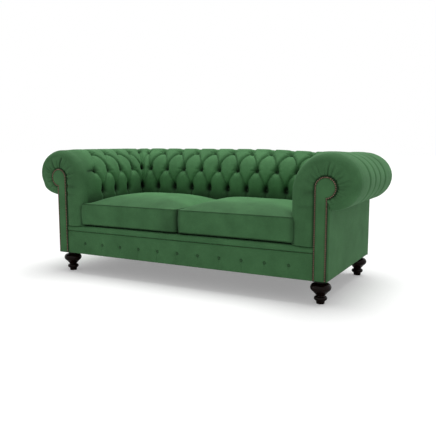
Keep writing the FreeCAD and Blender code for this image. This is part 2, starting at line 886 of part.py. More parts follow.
def springs():
    """Sinuous springs, and the clips that hold their ends on the rails."""
    height = rail_top + clip_height / 2
    front = board_front + front_rail_thickness - clip_width / 2 - touch_gap
    rear = y_inner + frame_in + clip_width / 2 + touch_gap
    wires, clips = [], []
    for index in range(spring_count):
        x = (index - (spring_count - 1) / 2) * 2 * inner_half / spring_count
        path = spring_path(x, front, rear, height)
        ring = Part.makeCircle(spring_wire_radius, path.Vertexes[0].Point, RIGHT)
        wires.append(path.makePipeShell([Part.Wire(ring)], True, False))
        for y in (front, rear):
            block = box(
                x - clip_length / 2, x + clip_length / 2, y - clip_width / 2, y + clip_width / 2,
                rail_top, rail_top + clip_height,
            )
            bore = Part.makeCylinder(
                spring_wire_radius + clip_clearance, clip_length + 2 * overrun,
                V(x - clip_length / 2 - overrun, y, height), RIGHT,
            )
            clips.append(block.cut(bore))
    return wires, clips


def rounded_outline(x0, x1, y0, y1, z, radius):
    """A rectangle with rounded corners, as lines and quarter arcs."""
    turn = radius * (1 - math.sqrt(0.5))
    edges = [
        Part.makeLine(V(x0 + radius, y0, z), V(x1 - radius, y0, z)),
        Part.Arc(V(x1 - radius, y0, z), V(x1 - turn, y0 + turn, z), V(x1, y0 + radius, z)).toShape(),
        Part.makeLine(V(x1, y0 + radius, z), V(x1, y1 - radius, z)),
        Part.Arc(V(x1, y1 - radius, z), V(x1 - turn, y1 - turn, z), V(x1 - radius, y1, z)).toShape(),
        Part.makeLine(V(x1 - radius, y1, z), V(x0 + radius, y1, z)),
        Part.Arc(V(x0 + radius, y1, z), V(x0 + turn, y1 - turn, z), V(x0, y1 - radius, z)).toShape(),
        Part.makeLine(V(x0, y1 - radius, z), V(x0, y0 + radius, z)),
        Part.Arc(V(x0, y0 + radius, z), V(x0 + turn, y0 + turn, z), V(x0 + radius, y0, z)).toShape(),
    ]
    return Part.Wire(edges)


cushion_x0 = cushion_middle_gap / 2 + 2 * piping_radius
cushion_x1 = inner_half - cushion_side_gap - 2 * piping_radius
cushion_y0 = y_front + cushion_setback + 2 * piping_radius
cushion_y1 = y_inner - cushion_rear_gap - 2 * piping_radius
cushion_bottom = seat_height + touch_gap
cushion_top = cushion_bottom + cushion_height


def cushion_outline(inset, z):
    radius = cushion_corner_radius + inset * corner_growth_share
    return rounded_outline(
        cushion_x0 + inset, cushion_x1 - inset, cushion_y0 + inset, cushion_y1 - inset, z, radius
    )


def cushion_body(margin):
    """The cushion's form, taken in all round by margin: a border drawn in halfway up, and a crowned top."""
    low = cushion_bottom + margin
    high = cushion_top - margin / 2
    border = [
        cushion_outline(margin, low),
        cushion_outline(margin + cushion_draw_in, (low + high) / 2),
        cushion_outline(margin, high),
    ]
    crown = [
        cushion_outline(lerp(margin, crown_run, run), high + (cushion_crown - margin / 2) * rise)
        for run, rise in crown_shares
    ]
    return Part.makeLoft(border, True).fuse(Part.makeLoft(crown, True))


def piping(z):
    """A cord round the cushion's edge, just clear of the cover."""
    away = -piping_radius - touch_gap
    path = cushion_outline(away, z)
    ring = Part.makeCircle(piping_radius, path.Vertexes[0].Point, RIGHT)
    return path.makePipeShell([Part.Wire(ring)], True, False)


def cushion():
    """One loose seat cushion, on the right: cover, foam core, two cords and the zip behind."""
    cover = cushion_body(0).cut(cushion_body(cover_thickness))
    both_sides("cushion_cover", [cover])
    both_sides("cushion_core", [cushion_body(cover_thickness + touch_gap)])
    cords = [piping(cushion_bottom + piping_radius), piping(cushion_top - piping_radius)]
    both_sides("cushion_piping", cords)
    middle_x = (cushion_x0 + cushion_x1) / 2
    middle_z = (cushion_bottom + cushion_top) / 2
    y = cushion_y1 - cushion_draw_in + touch_gap
    zip_tape = box(
        middle_x - zip_length / 2, middle_x + zip_length / 2, y, y + zip_thickness,
        middle_z - zip_width / 2, middle_z + zip_width / 2,
    )
    both_sides("cushion_zip", [zip_tape])


def main():
    os.makedirs("parts", exist_ok=True)
    rails()
    both_sides("arm_board", [arm_board()])
    both_sides("arm_ribs", arm_ribs())
    save("back_ribs", *back_ribs())
    both_sides("arm_top_rail", [arm_top_rail()])
    save("back_top_rail", back_top_rail())
    both_sides("arm_webbing", arm_webbing())
    save("back_webbing", *back_webbing())
    both_sides("outside_arm_panel", [outside_arm_panel()])
    save("outside_back_panel", outside_back_panel())
    save("dust_cover", dust_cover())
    save("front_border", front_border())
    save("border_buttons", *border_buttons())
    save("front_lip", front_lip())
    save("deck_pad", deck_pad())
    wires, clips = springs()
    save("seat_springs", *wires)
    save("spring_clips", *clips)
    feet()
    both_sides("facing", [facing()])
    both_sides("facing_nails", nails())
    both_sides("arm_pad", [arm_pad()])
    save("back_pad", back_pad())
    both_sides("arm_buttons", pit_buttons(arm_point, ARM_COLUMNS[1:-1], arm_is_low, RIGHT))
    back = pit_buttons(back_point, BACK_COLUMNS[1:-1], back_is_low, BACK)
    save("back_buttons", *(back + corner_buttons(1) + corner_buttons(-1)))
    cushion()


main()
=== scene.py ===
"""The looks of the green Chesterfield sofa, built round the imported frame. Metres, in the frame of the CAD."""
import json
import math

import bmesh
import bpy
import numpy as np
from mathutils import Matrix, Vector

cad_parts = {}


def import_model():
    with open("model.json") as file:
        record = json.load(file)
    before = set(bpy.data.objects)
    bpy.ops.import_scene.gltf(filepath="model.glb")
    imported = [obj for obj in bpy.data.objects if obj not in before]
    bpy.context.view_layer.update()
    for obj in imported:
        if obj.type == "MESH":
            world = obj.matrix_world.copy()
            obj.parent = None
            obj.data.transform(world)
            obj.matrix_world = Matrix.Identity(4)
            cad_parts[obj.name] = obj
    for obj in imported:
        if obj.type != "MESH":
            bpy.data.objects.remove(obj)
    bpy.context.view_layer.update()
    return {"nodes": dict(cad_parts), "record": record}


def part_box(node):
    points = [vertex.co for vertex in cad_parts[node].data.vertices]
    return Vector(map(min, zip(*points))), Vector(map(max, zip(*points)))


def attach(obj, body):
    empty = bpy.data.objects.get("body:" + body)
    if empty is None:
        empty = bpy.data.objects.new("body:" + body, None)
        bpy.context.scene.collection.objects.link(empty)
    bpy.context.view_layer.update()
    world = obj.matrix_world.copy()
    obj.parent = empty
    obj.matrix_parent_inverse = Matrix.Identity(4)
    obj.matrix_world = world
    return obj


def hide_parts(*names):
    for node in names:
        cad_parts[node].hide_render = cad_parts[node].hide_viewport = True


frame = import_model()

NODES = frame["nodes"]

# Sizes of the frame, as in the source
Y_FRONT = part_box("front_border")[0][1]
INNER_X = 0.660
INNER_Y = Y_FRONT + 0.607
ARM = 0.198
X_OUTER = INNER_X + ARM
Y_OUTER = INNER_Y + ARM
UNDER = 0.122
HEM = 0.2923
SHOULDER_Z, SHOULDER_R = 0.555, 0.190
ROLL_OUT, ROLL_Z, ROLL_R = 0.209, 0.604, 0.131
TURN_OUT = 0.120
TOP_Z = SHOULDER_Z + SHOULDER_R
TUCK_Z = ROLL_Z - ROLL_R
KEY_OUT, KEY_Z, KEY_R, KEY_NECK = 0.1785, 0.581, 0.0577, 0.0715
RIM = 0.043
# How thick the shells of cloth are
PAD_SHELL, BORDER_SHELL, PANEL_SHELL, EDGE_SHELL = 0.010, 0.006, 0.0055, 0.004


# Materials
def nodes_of(name):
    mat = bpy.data.materials.new(name)
    mat.use_nodes = True
    tree = mat.node_tree
    return mat, tree, tree.nodes["Principled BSDF"]


def link(tree, a, b):
    tree.links.new(a, b)


def set_inputs(node, values):
    for name, value in values.items():
        node.inputs[name].default_value = value


def object_coord(tree):
    return tree.nodes.new("ShaderNodeTexCoord").outputs["Object"]


def attribute(tree, name):
    node = tree.nodes.new("ShaderNodeAttribute")
    node.attribute_name = name
    return node.outputs["Fac"]


def noise(tree, scale, detail=3.0, rough=0.55, coord=None):
    node = tree.nodes.new("ShaderNodeTexNoise")
    set_inputs(node, {"Scale": scale, "Detail": detail, "Roughness": rough})
    link(tree, object_coord(tree) if coord is None else coord, node.inputs["Vector"])
    return node.outputs["Fac"]


def stretched_noise(tree, scale, detail):
    """Noise drawn out along one axis, as the grain of wood is."""
    stretch = tree.nodes.new("ShaderNodeMapping")
    set_inputs(stretch, {"Scale": scale})
    link(tree, object_coord(tree), stretch.inputs["Vector"])
    return noise(tree, 1.0, detail, coord=stretch.outputs[0])


def ramp(tree, fac, stops):
    node = tree.nodes.new("ShaderNodeValToRGB")
    elements = node.color_ramp.elements
    for element, (position, color) in zip(elements, stops[:2]):
        element.position, element.color = position, (*color, 1)
    for position, color in stops[2:]:
        elements.new(position).color = (*color, 1)
    link(tree, fac, node.inputs["Fac"])
    return node.outputs["Color"]


def feed(tree, socket, value):
    """Sets a socket to a number or a color, or links it to another one."""
    if isinstance(value, tuple):
        socket.default_value = (*value, 1)
    elif isinstance(value, float):
        socket.default_value = value
    else:
        link(tree, value, socket)


def math_node(tree, operation, a, b):
    node = tree.nodes.new("ShaderNodeMath")
    node.operation = operation
    feed(tree, node.inputs[0], a)
    feed(tree, node.inputs[1], b)
    return node.outputs[0]


def mix_color(tree, fac, a, b, blend="MIX"):
    node = tree.nodes.new("ShaderNodeMix")
    node.data_type = "RGBA"
    node.blend_type = blend
    for index, value in ((0, fac), (6, a), (7, b)):
        feed(tree, node.inputs[index], value)
    return node.outputs[2]


def bump(tree, bsdf, height, distance, strength, below=None):
    node = tree.nodes.new("ShaderNodeBump")
    set_inputs(node, {"Distance": distance, "Strength": strength})
    link(tree, height, node.inputs["Height"])
    if below is not None:
        link(tree, below, node.inputs["Normal"])
    link(tree, node.outputs[0], bsdf.inputs["Normal"])
    return node.outputs[0]


def velvet(name, tone=1.0, pile=1.0):
    """Short-pile velvet: soft patches of brushing, a fine grain of pile and a sheen at grazing angles, with painted
    shade and painted light read from two attributes.
    """
    mat, tree, bsdf = nodes_of(name)
    dark, mid, light = [
        tuple(tone * c for c in color)
        for color in ((0.048, 0.137, 0.052), (0.057, 0.160, 0.062), (0.067, 0.184, 0.072))
    ]
    color = ramp(tree, noise(tree, 9.0, 4.0, 0.6), [(0.3, dark), (0.7, light), (0.5, mid)])
    grain = noise(tree, 420.0, 2.0, 0.7)
    grain_color = ramp(tree, grain, [(0.32, (0.78, 0.78, 0.78)), (0.68, (1.2, 1.2, 1.2))])
    color = mix_color(tree, 0.75, color, grain_color, "MULTIPLY")
    # Painted shade: the colour darkens in creases, pits and gaps, where shade falls
    color = mix_color(tree, attribute(tree, "cavity"), color, tuple(0.10 * c for c in dark))
    # Painted light and shade: above zero the colour is lighter, below zero darker
    brush = math_node(tree, "ADD", attribute(tree, "brush"), 1.0)
    link(tree, mix_color(tree, 1.0, color, brush, "MULTIPLY"), bsdf.inputs["Base Color"])
    set_inputs(bsdf, {
        "Roughness": 0.82, "Specular IOR Level": 0.18,
        "Sheen Weight": 0.12 * pile, "Sheen Roughness": 0.42, "Sheen Tint": (0.38, 0.80, 0.42, 1),
    })
    fine = bump(tree, bsdf, grain, 0.0006, 0.55)
    bump(tree, bsdf, noise(tree, 60.0), 0.0012, 0.35, fine)
    return mat


def textured(name, texture, stops, values, distance, strength, relief=None):
    """A material with one texture for its colour and its relief, or with a relief of its own."""
    mat, tree, bsdf = nodes_of(name)
    grain = texture(tree)
    link(tree, ramp(tree, grain, stops), bsdf.inputs["Base Color"])
    set_inputs(bsdf, values)
    bump(tree, bsdf, relief(tree) if relief else grain, distance, strength)
    return mat


def wood(name, dark, light, scale):
    stops = [(0.3, dark), (0.7, light)]
    return textured(name, lambda tree: stretched_noise(tree, scale, 5.0), stops, {"Roughness": 0.7}, 0.0006, 0.4)


def woven(name, dark, light, pitch):
    """A plain weave of threads that cross at right angles."""
    def weave(tree):
        waves = []
        for axis in ("X", "Y", "Z"):
            wave = tree.nodes.new("ShaderNodeTexWave")
            wave.bands_direction = axis
            set_inputs(wave, {"Scale": 0.314 / pitch, "Distortion": 0.6})
            link(tree, object_coord(tree), wave.inputs["Vector"])
            waves.append(wave.outputs["Fac"])
        threads = math_node(tree, "MULTIPLY", math_node(tree, "MULTIPLY", waves[0], waves[1]), waves[2])
        return math_node(tree, "ADD", threads, noise(tree, 200.0))

    return textured(name, weave, [(0.35, dark), (0.85, light)], {"Roughness": 0.9}, 0.0006, 0.5)


def foam_cells(tree):
    node = tree.nodes.new("ShaderNodeTexVoronoi")
    set_inputs(node, {"Scale": 700.0})
    link(tree, object_coord(tree), node.inputs["Vector"])
    return node.outputs["Distance"]


VELVET = velvet("green_velvet")
# A darker copy of the velvet for the buttons: painted shade in their pits
SHADED_BUTTON_VELVET = velvet("green_velvet_buttons_painted_shade", 0.55, 0.4)
# A darker copy of the velvet for the piping: painted shade for the dark line along the seams
SHADED_PIPING_VELVET = velvet("green_velvet_piping_painted_shade", 0.50, 0.4)
MATERIALS = {
    "velvet": VELVET,
    "button_cloth": SHADED_BUTTON_VELVET,
    "piping_cloth": SHADED_PIPING_VELVET,
    "foam": textured(
        "foam", foam_cells, [(0.1, (0.6, 0.55, 0.4)), (0.7, (0.84, 0.8, 0.66))], {"Roughness": 1.0}, 0.0006, 0.5,
    ),
    # The deck cloth, darkened to nearly black: painted shade in the gap under the cushions
    "deck_cloth": woven("deck_cloth", (0.006, 0.014, 0.007), (0.014, 0.034, 0.016), 0.0012),
    "black_cloth": woven("black_cloth", (0.006, 0.006, 0.006), (0.03, 0.03, 0.03), 0.0009),
    "webbing": woven("webbing", (0.16, 0.12, 0.07), (0.42, 0.34, 0.22), 0.0022),
    "zip": woven("zip_tape", (0.02, 0.06, 0.024), (0.05, 0.13, 0.055), 0.0008),
    # Antiqued copper-brown nail heads
    "nail_metal": textured(
        "antiqued_nails", lambda tree: noise(tree, 160.0), [(0.35, (0.10, 0.058, 0.040)), (0.7, (0.33, 0.21, 0.155))],
        {"Metallic": 0.9, "Roughness": 0.34}, 0.0002, 0.4, lambda tree: noise(tree, 900.0),
    ),
    # Nearly black stained hardwood under a gloss
    "turned_wood": textured(
        "turned_wood", lambda tree: stretched_noise(tree, (90, 90, 7), 4.0),
        [(0.3, (0.004, 0.002, 0.0015)), (0.75, (0.014, 0.006, 0.004))],
        {"Roughness": 0.12, "Specular IOR Level": 0.07, "Coat Weight": 0.06, "Coat Roughness": 0.03}, 0.0002, 0.3,
    ),
    "glide_plastic": woven("glide_felt", (0.01, 0.01, 0.01), (0.05, 0.05, 0.05), 0.001),
    "steel": textured(
        "spring_steel", lambda tree: noise(tree, 300.0), [(0.3, (0.34, 0.34, 0.35)), (0.7, (0.52, 0.52, 0.53))],
        {"Metallic": 1.0, "Roughness": 0.38}, 0.0002, 0.3,
    ),
    "plywood": wood("plywood", (0.42, 0.29, 0.16), (0.66, 0.5, 0.31), (60, 60, 4)),
    "timber": wood("timber", (0.46, 0.31, 0.16), (0.7, 0.52, 0.3), (4, 60, 60)),
}
for entry in frame["record"]["subparts"]:
    node = NODES[entry["node"]]
    material = MATERIALS[entry["material_slot"]]
    if node.material_slots:
        for material_slot in node.material_slots:
            material_slot.material = material
    else:
        node.data.materials.append(material)


# Meshes
def add_object(name, data):
    obj = bpy.data.objects.new(name, data)
    bpy.context.scene.collection.objects.link(obj)
    return obj


def set_shades(mesh, **shades):
    """Gives each vertex its values of painted shade or painted light, which the velvet reads."""
    for shade, values in shades.items():
        mesh.attributes.new(shade, "FLOAT", "POINT").data.foreach_set("value", values.astype(np.float32).ravel())


def piece(name, mesh, body="frame", material=VELVET):
    """Shows a mesh as one smooth piece that rides a body."""
    mesh.polygons.foreach_set("use_smooth", [True] * len(mesh.polygons))
    obj = add_object(name, mesh)
    mesh.materials.append(material)
    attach(obj, body)
    return obj


def new_mesh(name, verts, faces):
    mesh = bpy.data.meshes.new(name)
    mesh.from_pydata(np.array(verts).reshape(-1, 3).tolist(), [], faces)
    mesh.update()
    return mesh


def velvet_object(name, verts, faces, **shades):
    mesh = new_mesh(name, verts, faces)
    set_shades(mesh, **shades)
    return piece(name, mesh)


def grid_cells(rows, columns):
    """Each cell of a grid that is stored row by row: its place, then its four corners in turn."""
    for i in range(rows - 1):
        for j in range(columns - 1):
            a = i * columns + j
            yield i, j, (a, a + 1, a + columns + 1, a + columns)


def grid_faces(rows, columns, flip=False):
    return [quad[::-1] if flip else quad for _, _, quad in grid_cells(rows, columns)]


def ring_faces(rings, count, start=0, closed=False):
    """Quads between rings of vertices. Where closed, the last ring joins the first."""
    faces = []
    for ring in range(rings if closed else rings - 1):
        low, high = start + ring * count, start + (ring + 1) % rings * count
        faces += [(low + i, low + (i + 1) % count, high + (i + 1) % count, high + i) for i in range(count)]
    return faces


def prism_faces(rings, count):
    """Quads between rings, with a flat face at either end."""
    ends = [tuple(range((rings - 1) * count, rings * count)), tuple(range(count))[::-1]]
    return ring_faces(rings, count) + ends


def points_of(mesh):
    return np.array([v.co for v in mesh.vertices])


def creased_faces(height, flip=False):
    """Triangles of a grid of vertices, folded along the lower diagonal so that creases stay sharp."""
    faces = []
    for i, j, (a, b, c, d) in grid_cells(*height.shape):
        if height[i, j] + height[i + 1, j + 1] <= height[i, j + 1] + height[i + 1, j]:
            pair = ((a, b, c), (a, c, d))
        else:
            pair = ((a, b, d), (b, c, d))
        faces += [face[::-1] for face in pair] if flip else pair
    return faces


def thicken(obj, depth):
    """Closes an open skin inwards."""
    modifier = obj.modifiers.new("body", "SOLIDIFY")
    modifier.thickness = depth
    modifier.offset = -1.0
    modifier.use_even_offset = False
    return obj


def side_name(side):
    return "right" if side > 0 else "left"


def smooth(x, low, high):
    t = np.clip((x - low) / (high - low), 0, 1)
    return t * t * (3 - 2 * t)


def bell(x, width):
    return np.exp(-(x / width) ** 2)


def arc(out, z, radius, angles):
    return [(out + radius * math.cos(a), z + radius * math.sin(a)) for a in angles]


# The section shared by the arms and the back
def section_curve():
    """Dense points of the section with their normals, from the hem to the tuck: (length, out, z, n_out, n_z)."""
    points = [(0.0, HEM + (SHOULDER_Z - HEM) * i / 60) for i in range(60)]
    points += arc(SHOULDER_R, SHOULDER_Z, SHOULDER_R, [math.radians(180 - i) for i in range(91)])
    start = math.radians(48)
    p0 = np.array((SHOULDER_R, TOP_Z))
    p3 = np.array(arc(ROLL_OUT, ROLL_Z, ROLL_R, [start])[0])
    p1 = p0 + np.array((0.032, 0.0))
    p2 = p3 + 0.040 * np.array((-math.sin(start), math.cos(start)))
    for i in range(1, 24):
        t = i / 24
        points.append(tuple((1 - t) ** 3 * p0 + 3 * t * (1 - t) ** 2 * p1 + 3 * t * t * (1 - t) * p2 + t ** 3 * p3))
    points += arc(ROLL_OUT, ROLL_Z, ROLL_R, [start - math.radians(i) for i in range(0, 139, 2)])
    points += [(ROLL_OUT - 0.006, TUCK_Z), (ARM - 0.001, TUCK_Z)]
    points = np.array(points)
    step = np.linalg.norm(np.diff(points, axis=0), axis=1)
    length = np.concatenate(([0], np.cumsum(step)))
    tangent = np.gradient(points, length, axis=0)
    tangent /= np.linalg.norm(tangent, axis=1)[:, None]
    return length, points[:, 0], points[:, 1], -tangent[:, 1], tangent[:, 0]


LENGTH, *SECTION = section_curve()
T_END = LENGTH[-1]


def section_at(t):
    out, z, n_out, n_z = [np.interp(t, LENGTH, column) for column in SECTION]
    size = np.hypot(n_out, n_z)
    return out, z, n_out / size, n_z / size


T_SHOULDER = SHOULDER_Z - HEM
T_C = 0.498 - HEM
T_B = T_SHOULDER + SHOULDER_R * math.radians(20.3)
T_A = T_SHOULDER + SHOULDER_R * math.radians(59.0)
T_TOP = T_SHOULDER + SHOULDER_R * math.pi / 2
T_SIDE = T_TOP + 0.108 + ROLL_R * math.radians(48)

# The three rows of buttons, from the lowest one up
ROWS = {"C": T_C, "B": T_B, "A": T_A}
# Across the section: the level of the creases, and the crowns of the bulges between them on the back and the arms
LEVEL_T = [
    0.0, T_C, (T_C + T_B) / 2, T_B, (T_B + T_A) / 2, T_A,
    T_A + 0.027, T_A + 0.060, T_TOP, T_TOP + 0.06, T_SIDE, T_END - 0.07, T_END,
]
LEVEL = [-0.006, -0.004, 0.001, -0.005, 0.004, -0.001, -0.003, -0.004, -0.004, -0.008, -0.009, -0.006, 0.0]
BACK_CROWN = [0.008, 0.012, 0.014, 0.017, 0.019, 0.020, 0.0240, 0.007, -0.001, -0.006, -0.004, 0.001, 0.0]
ARM_CROWN = [0.008, 0.012, 0.014, 0.017, 0.018, 0.018, 0.018, 0.011, 0.0025, 0.001, 0.004, 0.002, 0.0]
# The pits of each row's buttons: depth, radius, steepness upwards and the painted shade in them
PIT = {"C": 0.023, "B": 0.021, "A": 0.013}
PIT_R = {"C": 0.0150, "B": 0.0135, "A": 0.0105}
PIT_UP = {"C": 0.50, "B": 0.75, "A": 1.0}
PIT_SHADE = {"C": 1.9, "B": 1.3, "A": 0.75}
WIDE_PIT_SHARE, WIDE_PIT_R = 0.20, 0.028
# How round the creases run, and how much shade is painted in them from the hem to the tuck
ARC = 0.6
CREASE_SHADE = [0.26, 0.22, 0.07, 0.05, 0.10, 0.18]
# Painted light on the back and inside the arms, and painted shade on the arms' fronts
BACK_PAINTED_LIGHT, ARM_PAINTED_LIGHT, FRONT_PAINTED_SHADE = 0.37, 0.27, -0.09


def path_length(run, out):
    return run + np.where(out <= TURN_OUT, out, TURN_OUT + (out - TURN_OUT) * math.pi / 4)


def round_corner(run, out, gone):
    """(along, across) beside the inner corner, after going this far from the last straight column."""
    radius = np.maximum(out - TURN_OUT, 1e-9)
    straight = run + np.minimum(out, TURN_OUT)
    angle = np.maximum(gone - straight, 0) / radius
    bent = (gone > straight) & (out > TURN_OUT)
    along = np.where(bent, TURN_OUT + radius * np.sin(angle), gone - run)
    across = np.where(bent, TURN_OUT + radius * np.cos(angle), out)
    return along, across


class Pad:
    """One buttoned face, in developed coordinates: u along it and t across its section.

    An arm has a front: the u of its first buttons, and the length in which the face rises behind the rim.
    """

    def __init__(self, first, pitch, last, run, buttons, creases, pleats, falls, mirrored_u, front=None):
        self.first, self.pitch, self.last, self.run = first, pitch, last, run
        self.buttons, self.creases, self.pleats, self.falls = buttons, creases, pleats, falls
        self.mirrored_u, self.front = mirrored_u, front

    def unsigned(self, u):
        return np.abs(u) if self.mirrored_u else u

    def mitre(self, t):
        """The u at which the face meets its neighbour in the corner."""
        return self.last + path_length(self.run, section_at(t)[0])

    def bend(self, u, q):
        """Lifts the lattice between the rows, so that its straight creases become the arcs of round bulges.

        A crease comes up steeply from its lower pit, and runs level into its upper one.
        """
        v = self.unsigned(u)
        column = (v - self.first) / self.pitch
        odd = np.abs(np.mod(column, 2) - 1)
        t = q.copy()
        for q0, q1, a in ((T_B, T_A, odd), (T_C, T_B, 1 - odd)):
            s = (q - q0) / (q1 - q0)
            inside = (s > 0) & (s < 1) & (column >= (0 if self.mirrored_u else 1)) & (v <= self.last)
            a = np.clip(a, 1e-6, 1 - 1e-6)
            lift = (np.sqrt(1 - (1 - a) ** 2) - a) * np.minimum(s / a, (1 - s) / (1 - a))
            t += np.where(inside, ARC * (q1 - q0) * lift, 0)
        return t

    def form(self, u, t):
        """From 0 along the creases to 1 on the crowns, for a point of the unbent lattice."""
        v = self.unsigned(u)
        form = np.ones_like(t)
        for (u0, t0), (u1, t1) in self.creases:
            du, dt = u1 - u0, t1 - t0
            share = np.clip(((v - u0) * du + (t - t0) * dt) / (du * du + dt * dt), 0, 1)
            above = (t - t0 - share * dt) + 0.15 * np.abs(v - u0 - share * du) > 0
            form *= fold(np.hypot(v - u0 - share * du, t - t0 - share * dt), np.where(above, 0.030, 0.050))
        mitre = self.mitre(t)
        for u0, share in self.pleats:
            here = u0 + share * (mitre - self.last)
            wide = 0.024 + 0.012 * np.exp(-np.maximum(t - T_A, 0) / 0.05)
            form *= pleat(np.hypot(v - here, np.maximum(T_A - t, 0)), wide)
        for u0 in self.falls:
            form *= pleat(np.hypot(v - u0, np.maximum(t - T_C, 0)), 0.036)
        # At the inner corner both pads come to the same height, in a shallow valley
        corner = 0.62 * np.ones_like(t)
        for t0 in ROWS.values():
            corner *= fold(np.abs(t - t0), 0.045)
        own = smooth(mitre - v, 0.0, 0.034)
        return form * own + corner * (1 - own)

    def all_buttons(self, mitre):
        return self.buttons + [((mitre, t0), row) for row, t0 in ROWS.items()]

    def cavity(self, u, q):
        """Painted shade in the creases and pits, low down towards the seat, and along the crease of an arm's front.
        """
        t = self.bend(u, q)
        v = self.unsigned(u)
        crease = 1 - smooth(self.form(u, q), 0.06, 0.50)
        strength = np.interp(t, [0, T_C, T_A, T_A + 0.05, T_TOP + 0.05, T_END], CREASE_SHADE)
        if self.front:
            strength = strength * smooth(u, RIM, RIM + 0.03)
        near = np.zeros_like(t)
        for (u0, t0), row in self.all_buttons(self.mitre(t)):
            near = np.maximum(near, PIT_SHADE[row] * bell(pit_distance(v - u0, t - t0, row), PIT_R[row]))
        # Painted shade low down, near the seat cushions
        low = 0.62 * (1 - smooth(t, T_C - 0.10, T_C + 0.02))
        dark = np.maximum(crease * strength + low * (1 - crease * strength), near)
        # On an arm's front, painted shade along the crease drawn in at the middle row
        if self.front:
            drawn = smooth(u, RIM - 0.002, RIM + 0.03) * (u < self.front[0])
            dark = np.maximum(dark, drawn * np.exp(-np.abs(t - T_B) / 0.006))
        return np.clip(dark, 0, 1)

    def height(self, u, q):
        """How far the cloth stands outside the plain section, for a point of the unbent lattice."""
        t = self.bend(u, q)
        v = self.unsigned(u)
        level = np.interp(t, LEVEL_T, LEVEL)
        mitre = self.mitre(t)
        share = 0.5 * (1 - smooth(mitre - v, 0.0, 0.12))
        share = 1 - share if self.front else share
        crown = np.interp(t, LEVEL_T, BACK_CROWN) * (1 - share) + np.interp(t, LEVEL_T, ARM_CROWN) * share
        height = level + (crown - level) * np.minimum(self.form(u, q) / 0.94, 1.04)
        for (u0, t0), row in self.all_buttons(mitre):
            r = pit_distance(v - u0, t - t0, row)
            height -= PIT[row] * bell(r, PIT_R[row]) + WIDE_PIT_SHARE * PIT[row] * bell(r, WIDE_PIT_R)
        if self.front:
            crease_u, soft = self.front
            blend = smooth(v, RIM, RIM + soft)
            height = 0.002 * (1 - blend) + height * blend
            line = np.exp(-np.abs(t - T_B) / 0.006) * smooth(v, RIM + 0.004, crease_u)
            wide = bell(t - T_B, 0.022) * smooth(v, RIM, crease_u)
            height -= 0.006 * (line + wide) * (v < crease_u)
            # The fold where the cloth of the front is joined on
            upper = smooth(t, T_TOP - 0.01, T_TOP + 0.06) * (1 - smooth(t, T_SIDE + 0.05, T_SIDE + 0.12))
            height -= upper * 0.0036 * bell(v - RIM - 0.007, 0.0042)
            height += upper * 0.0024 * bell(v - RIM + 0.003, 0.0045)
        return height


def settled(points, arm):
    """Hand-stuffed tops are never quite even: the right ones lie lower to the rear, and the left roll is fuller."""
    x, y, z = [points[..., i] for i in range(3)]
    to_rear = smooth(y, -0.35, 0.10)
    on_roll = smooth(np.abs(x) - INNER_X, 0.20, 0.33)
    drop, reach, lift = 0.0, 0.0, 0.0
    if arm > 0:
        drop = 0.010 * to_rear
        reach = -0.012 * on_roll * to_rear
    elif arm == 0:
        drop = 0.014 * smooth(x, 0.15, 0.64)
        reach = -0.012 * on_roll * (x > 0)
    else:
        reach = -0.005 * on_roll * (1 - to_rear)
        lift = 0.017 * on_roll * (1 - to_rear) * (1 - smooth(z, 0.473, 0.60))
        low = smooth(np.abs(x) - INNER_X, 0.205, 0.250) * bell(z - 0.497, 0.032)
        reach = reach - 0.023 * low * (1 - to_rear)
    drop = drop * np.clip((z - 0.50) / (TOP_Z - 0.50), 0, 1)
    return np.stack([x + reach, y, z - drop + lift], axis=-1)


def pit_distance(du, dt, row):
    """Distance from a button, less steep upwards, where the cloth falls into the pit."""
    return np.hypot(du, np.where(dt > 0, PIT_UP[row] * dt, dt))


def fold(distance, width):
    """Zero in a fold, rising as steeply as a stuffed cushion does, to one at the width."""
    x = np.clip(distance / width, 0, 1)
    return np.sqrt(1 - (1 - x) ** 2)


def pleat(distance, width):
    """A narrow pleat that opens into a soft hollow."""
    x = np.clip(distance / width, 0, 1)
    return 0.25 * fold(distance, 0.006) + 0.75 * (1 - (1 - x) ** 2)


def lattice(row_a, row_b, row_c):
    """Creases from the middle row's buttons to their neighbours, all buttons with their row, and the falls below."""
    creases = []
    for k, point in row_b.items():
        for row in (row_a, row_c):
            creases += [(point, row[other]) for other in (k - 1, k + 1) if other in row]
    buttons = [(point, name) for name, row in (("C", row_c), ("B", row_b), ("A", row_a)) for point in row.values()]
    return creases, buttons, [u for u, _ in row_c.values()]


def corner_points(last, run):
    """The lowest and the middle button of the corner, in the coordinates of a face that ends there."""
    return (last + run, T_C), (last + run + section_at(T_B)[0], T_B)


def back_pattern():
    run = 0.063
    pitch = (INNER_X - run) / 9
    row_a, row_c = [{k: (k * pitch, t) for k in (0, 2, 4, 6, 8)} for t in (T_A, T_C)]
    row_b = {k: (k * pitch, T_B) for k in (1, 3, 5, 7, 9)}
    last = 9 * pitch
    # The last button of the upper row sits this share of the way to the mitre
    share = 0.42
    pleats = [(u, 0.0) for u, _ in row_a.values()] + [(last, share)]
    row_a[10] = (last + share * (run + section_at(T_A)[0]), T_A)
    mitre_c, mitre_b = corner_points(last, run)
    creases, buttons, falls = lattice(row_a, row_b, row_c)
    creases += [(row_b[9], mitre_c), (row_a[10], mitre_b)]
    creases += [((-row_b[1][0], T_B), row_a[0]), ((-row_b[1][0], T_B), row_c[0])]
    return Pad(0.0, pitch, last, run, buttons, creases, pleats, falls, True)


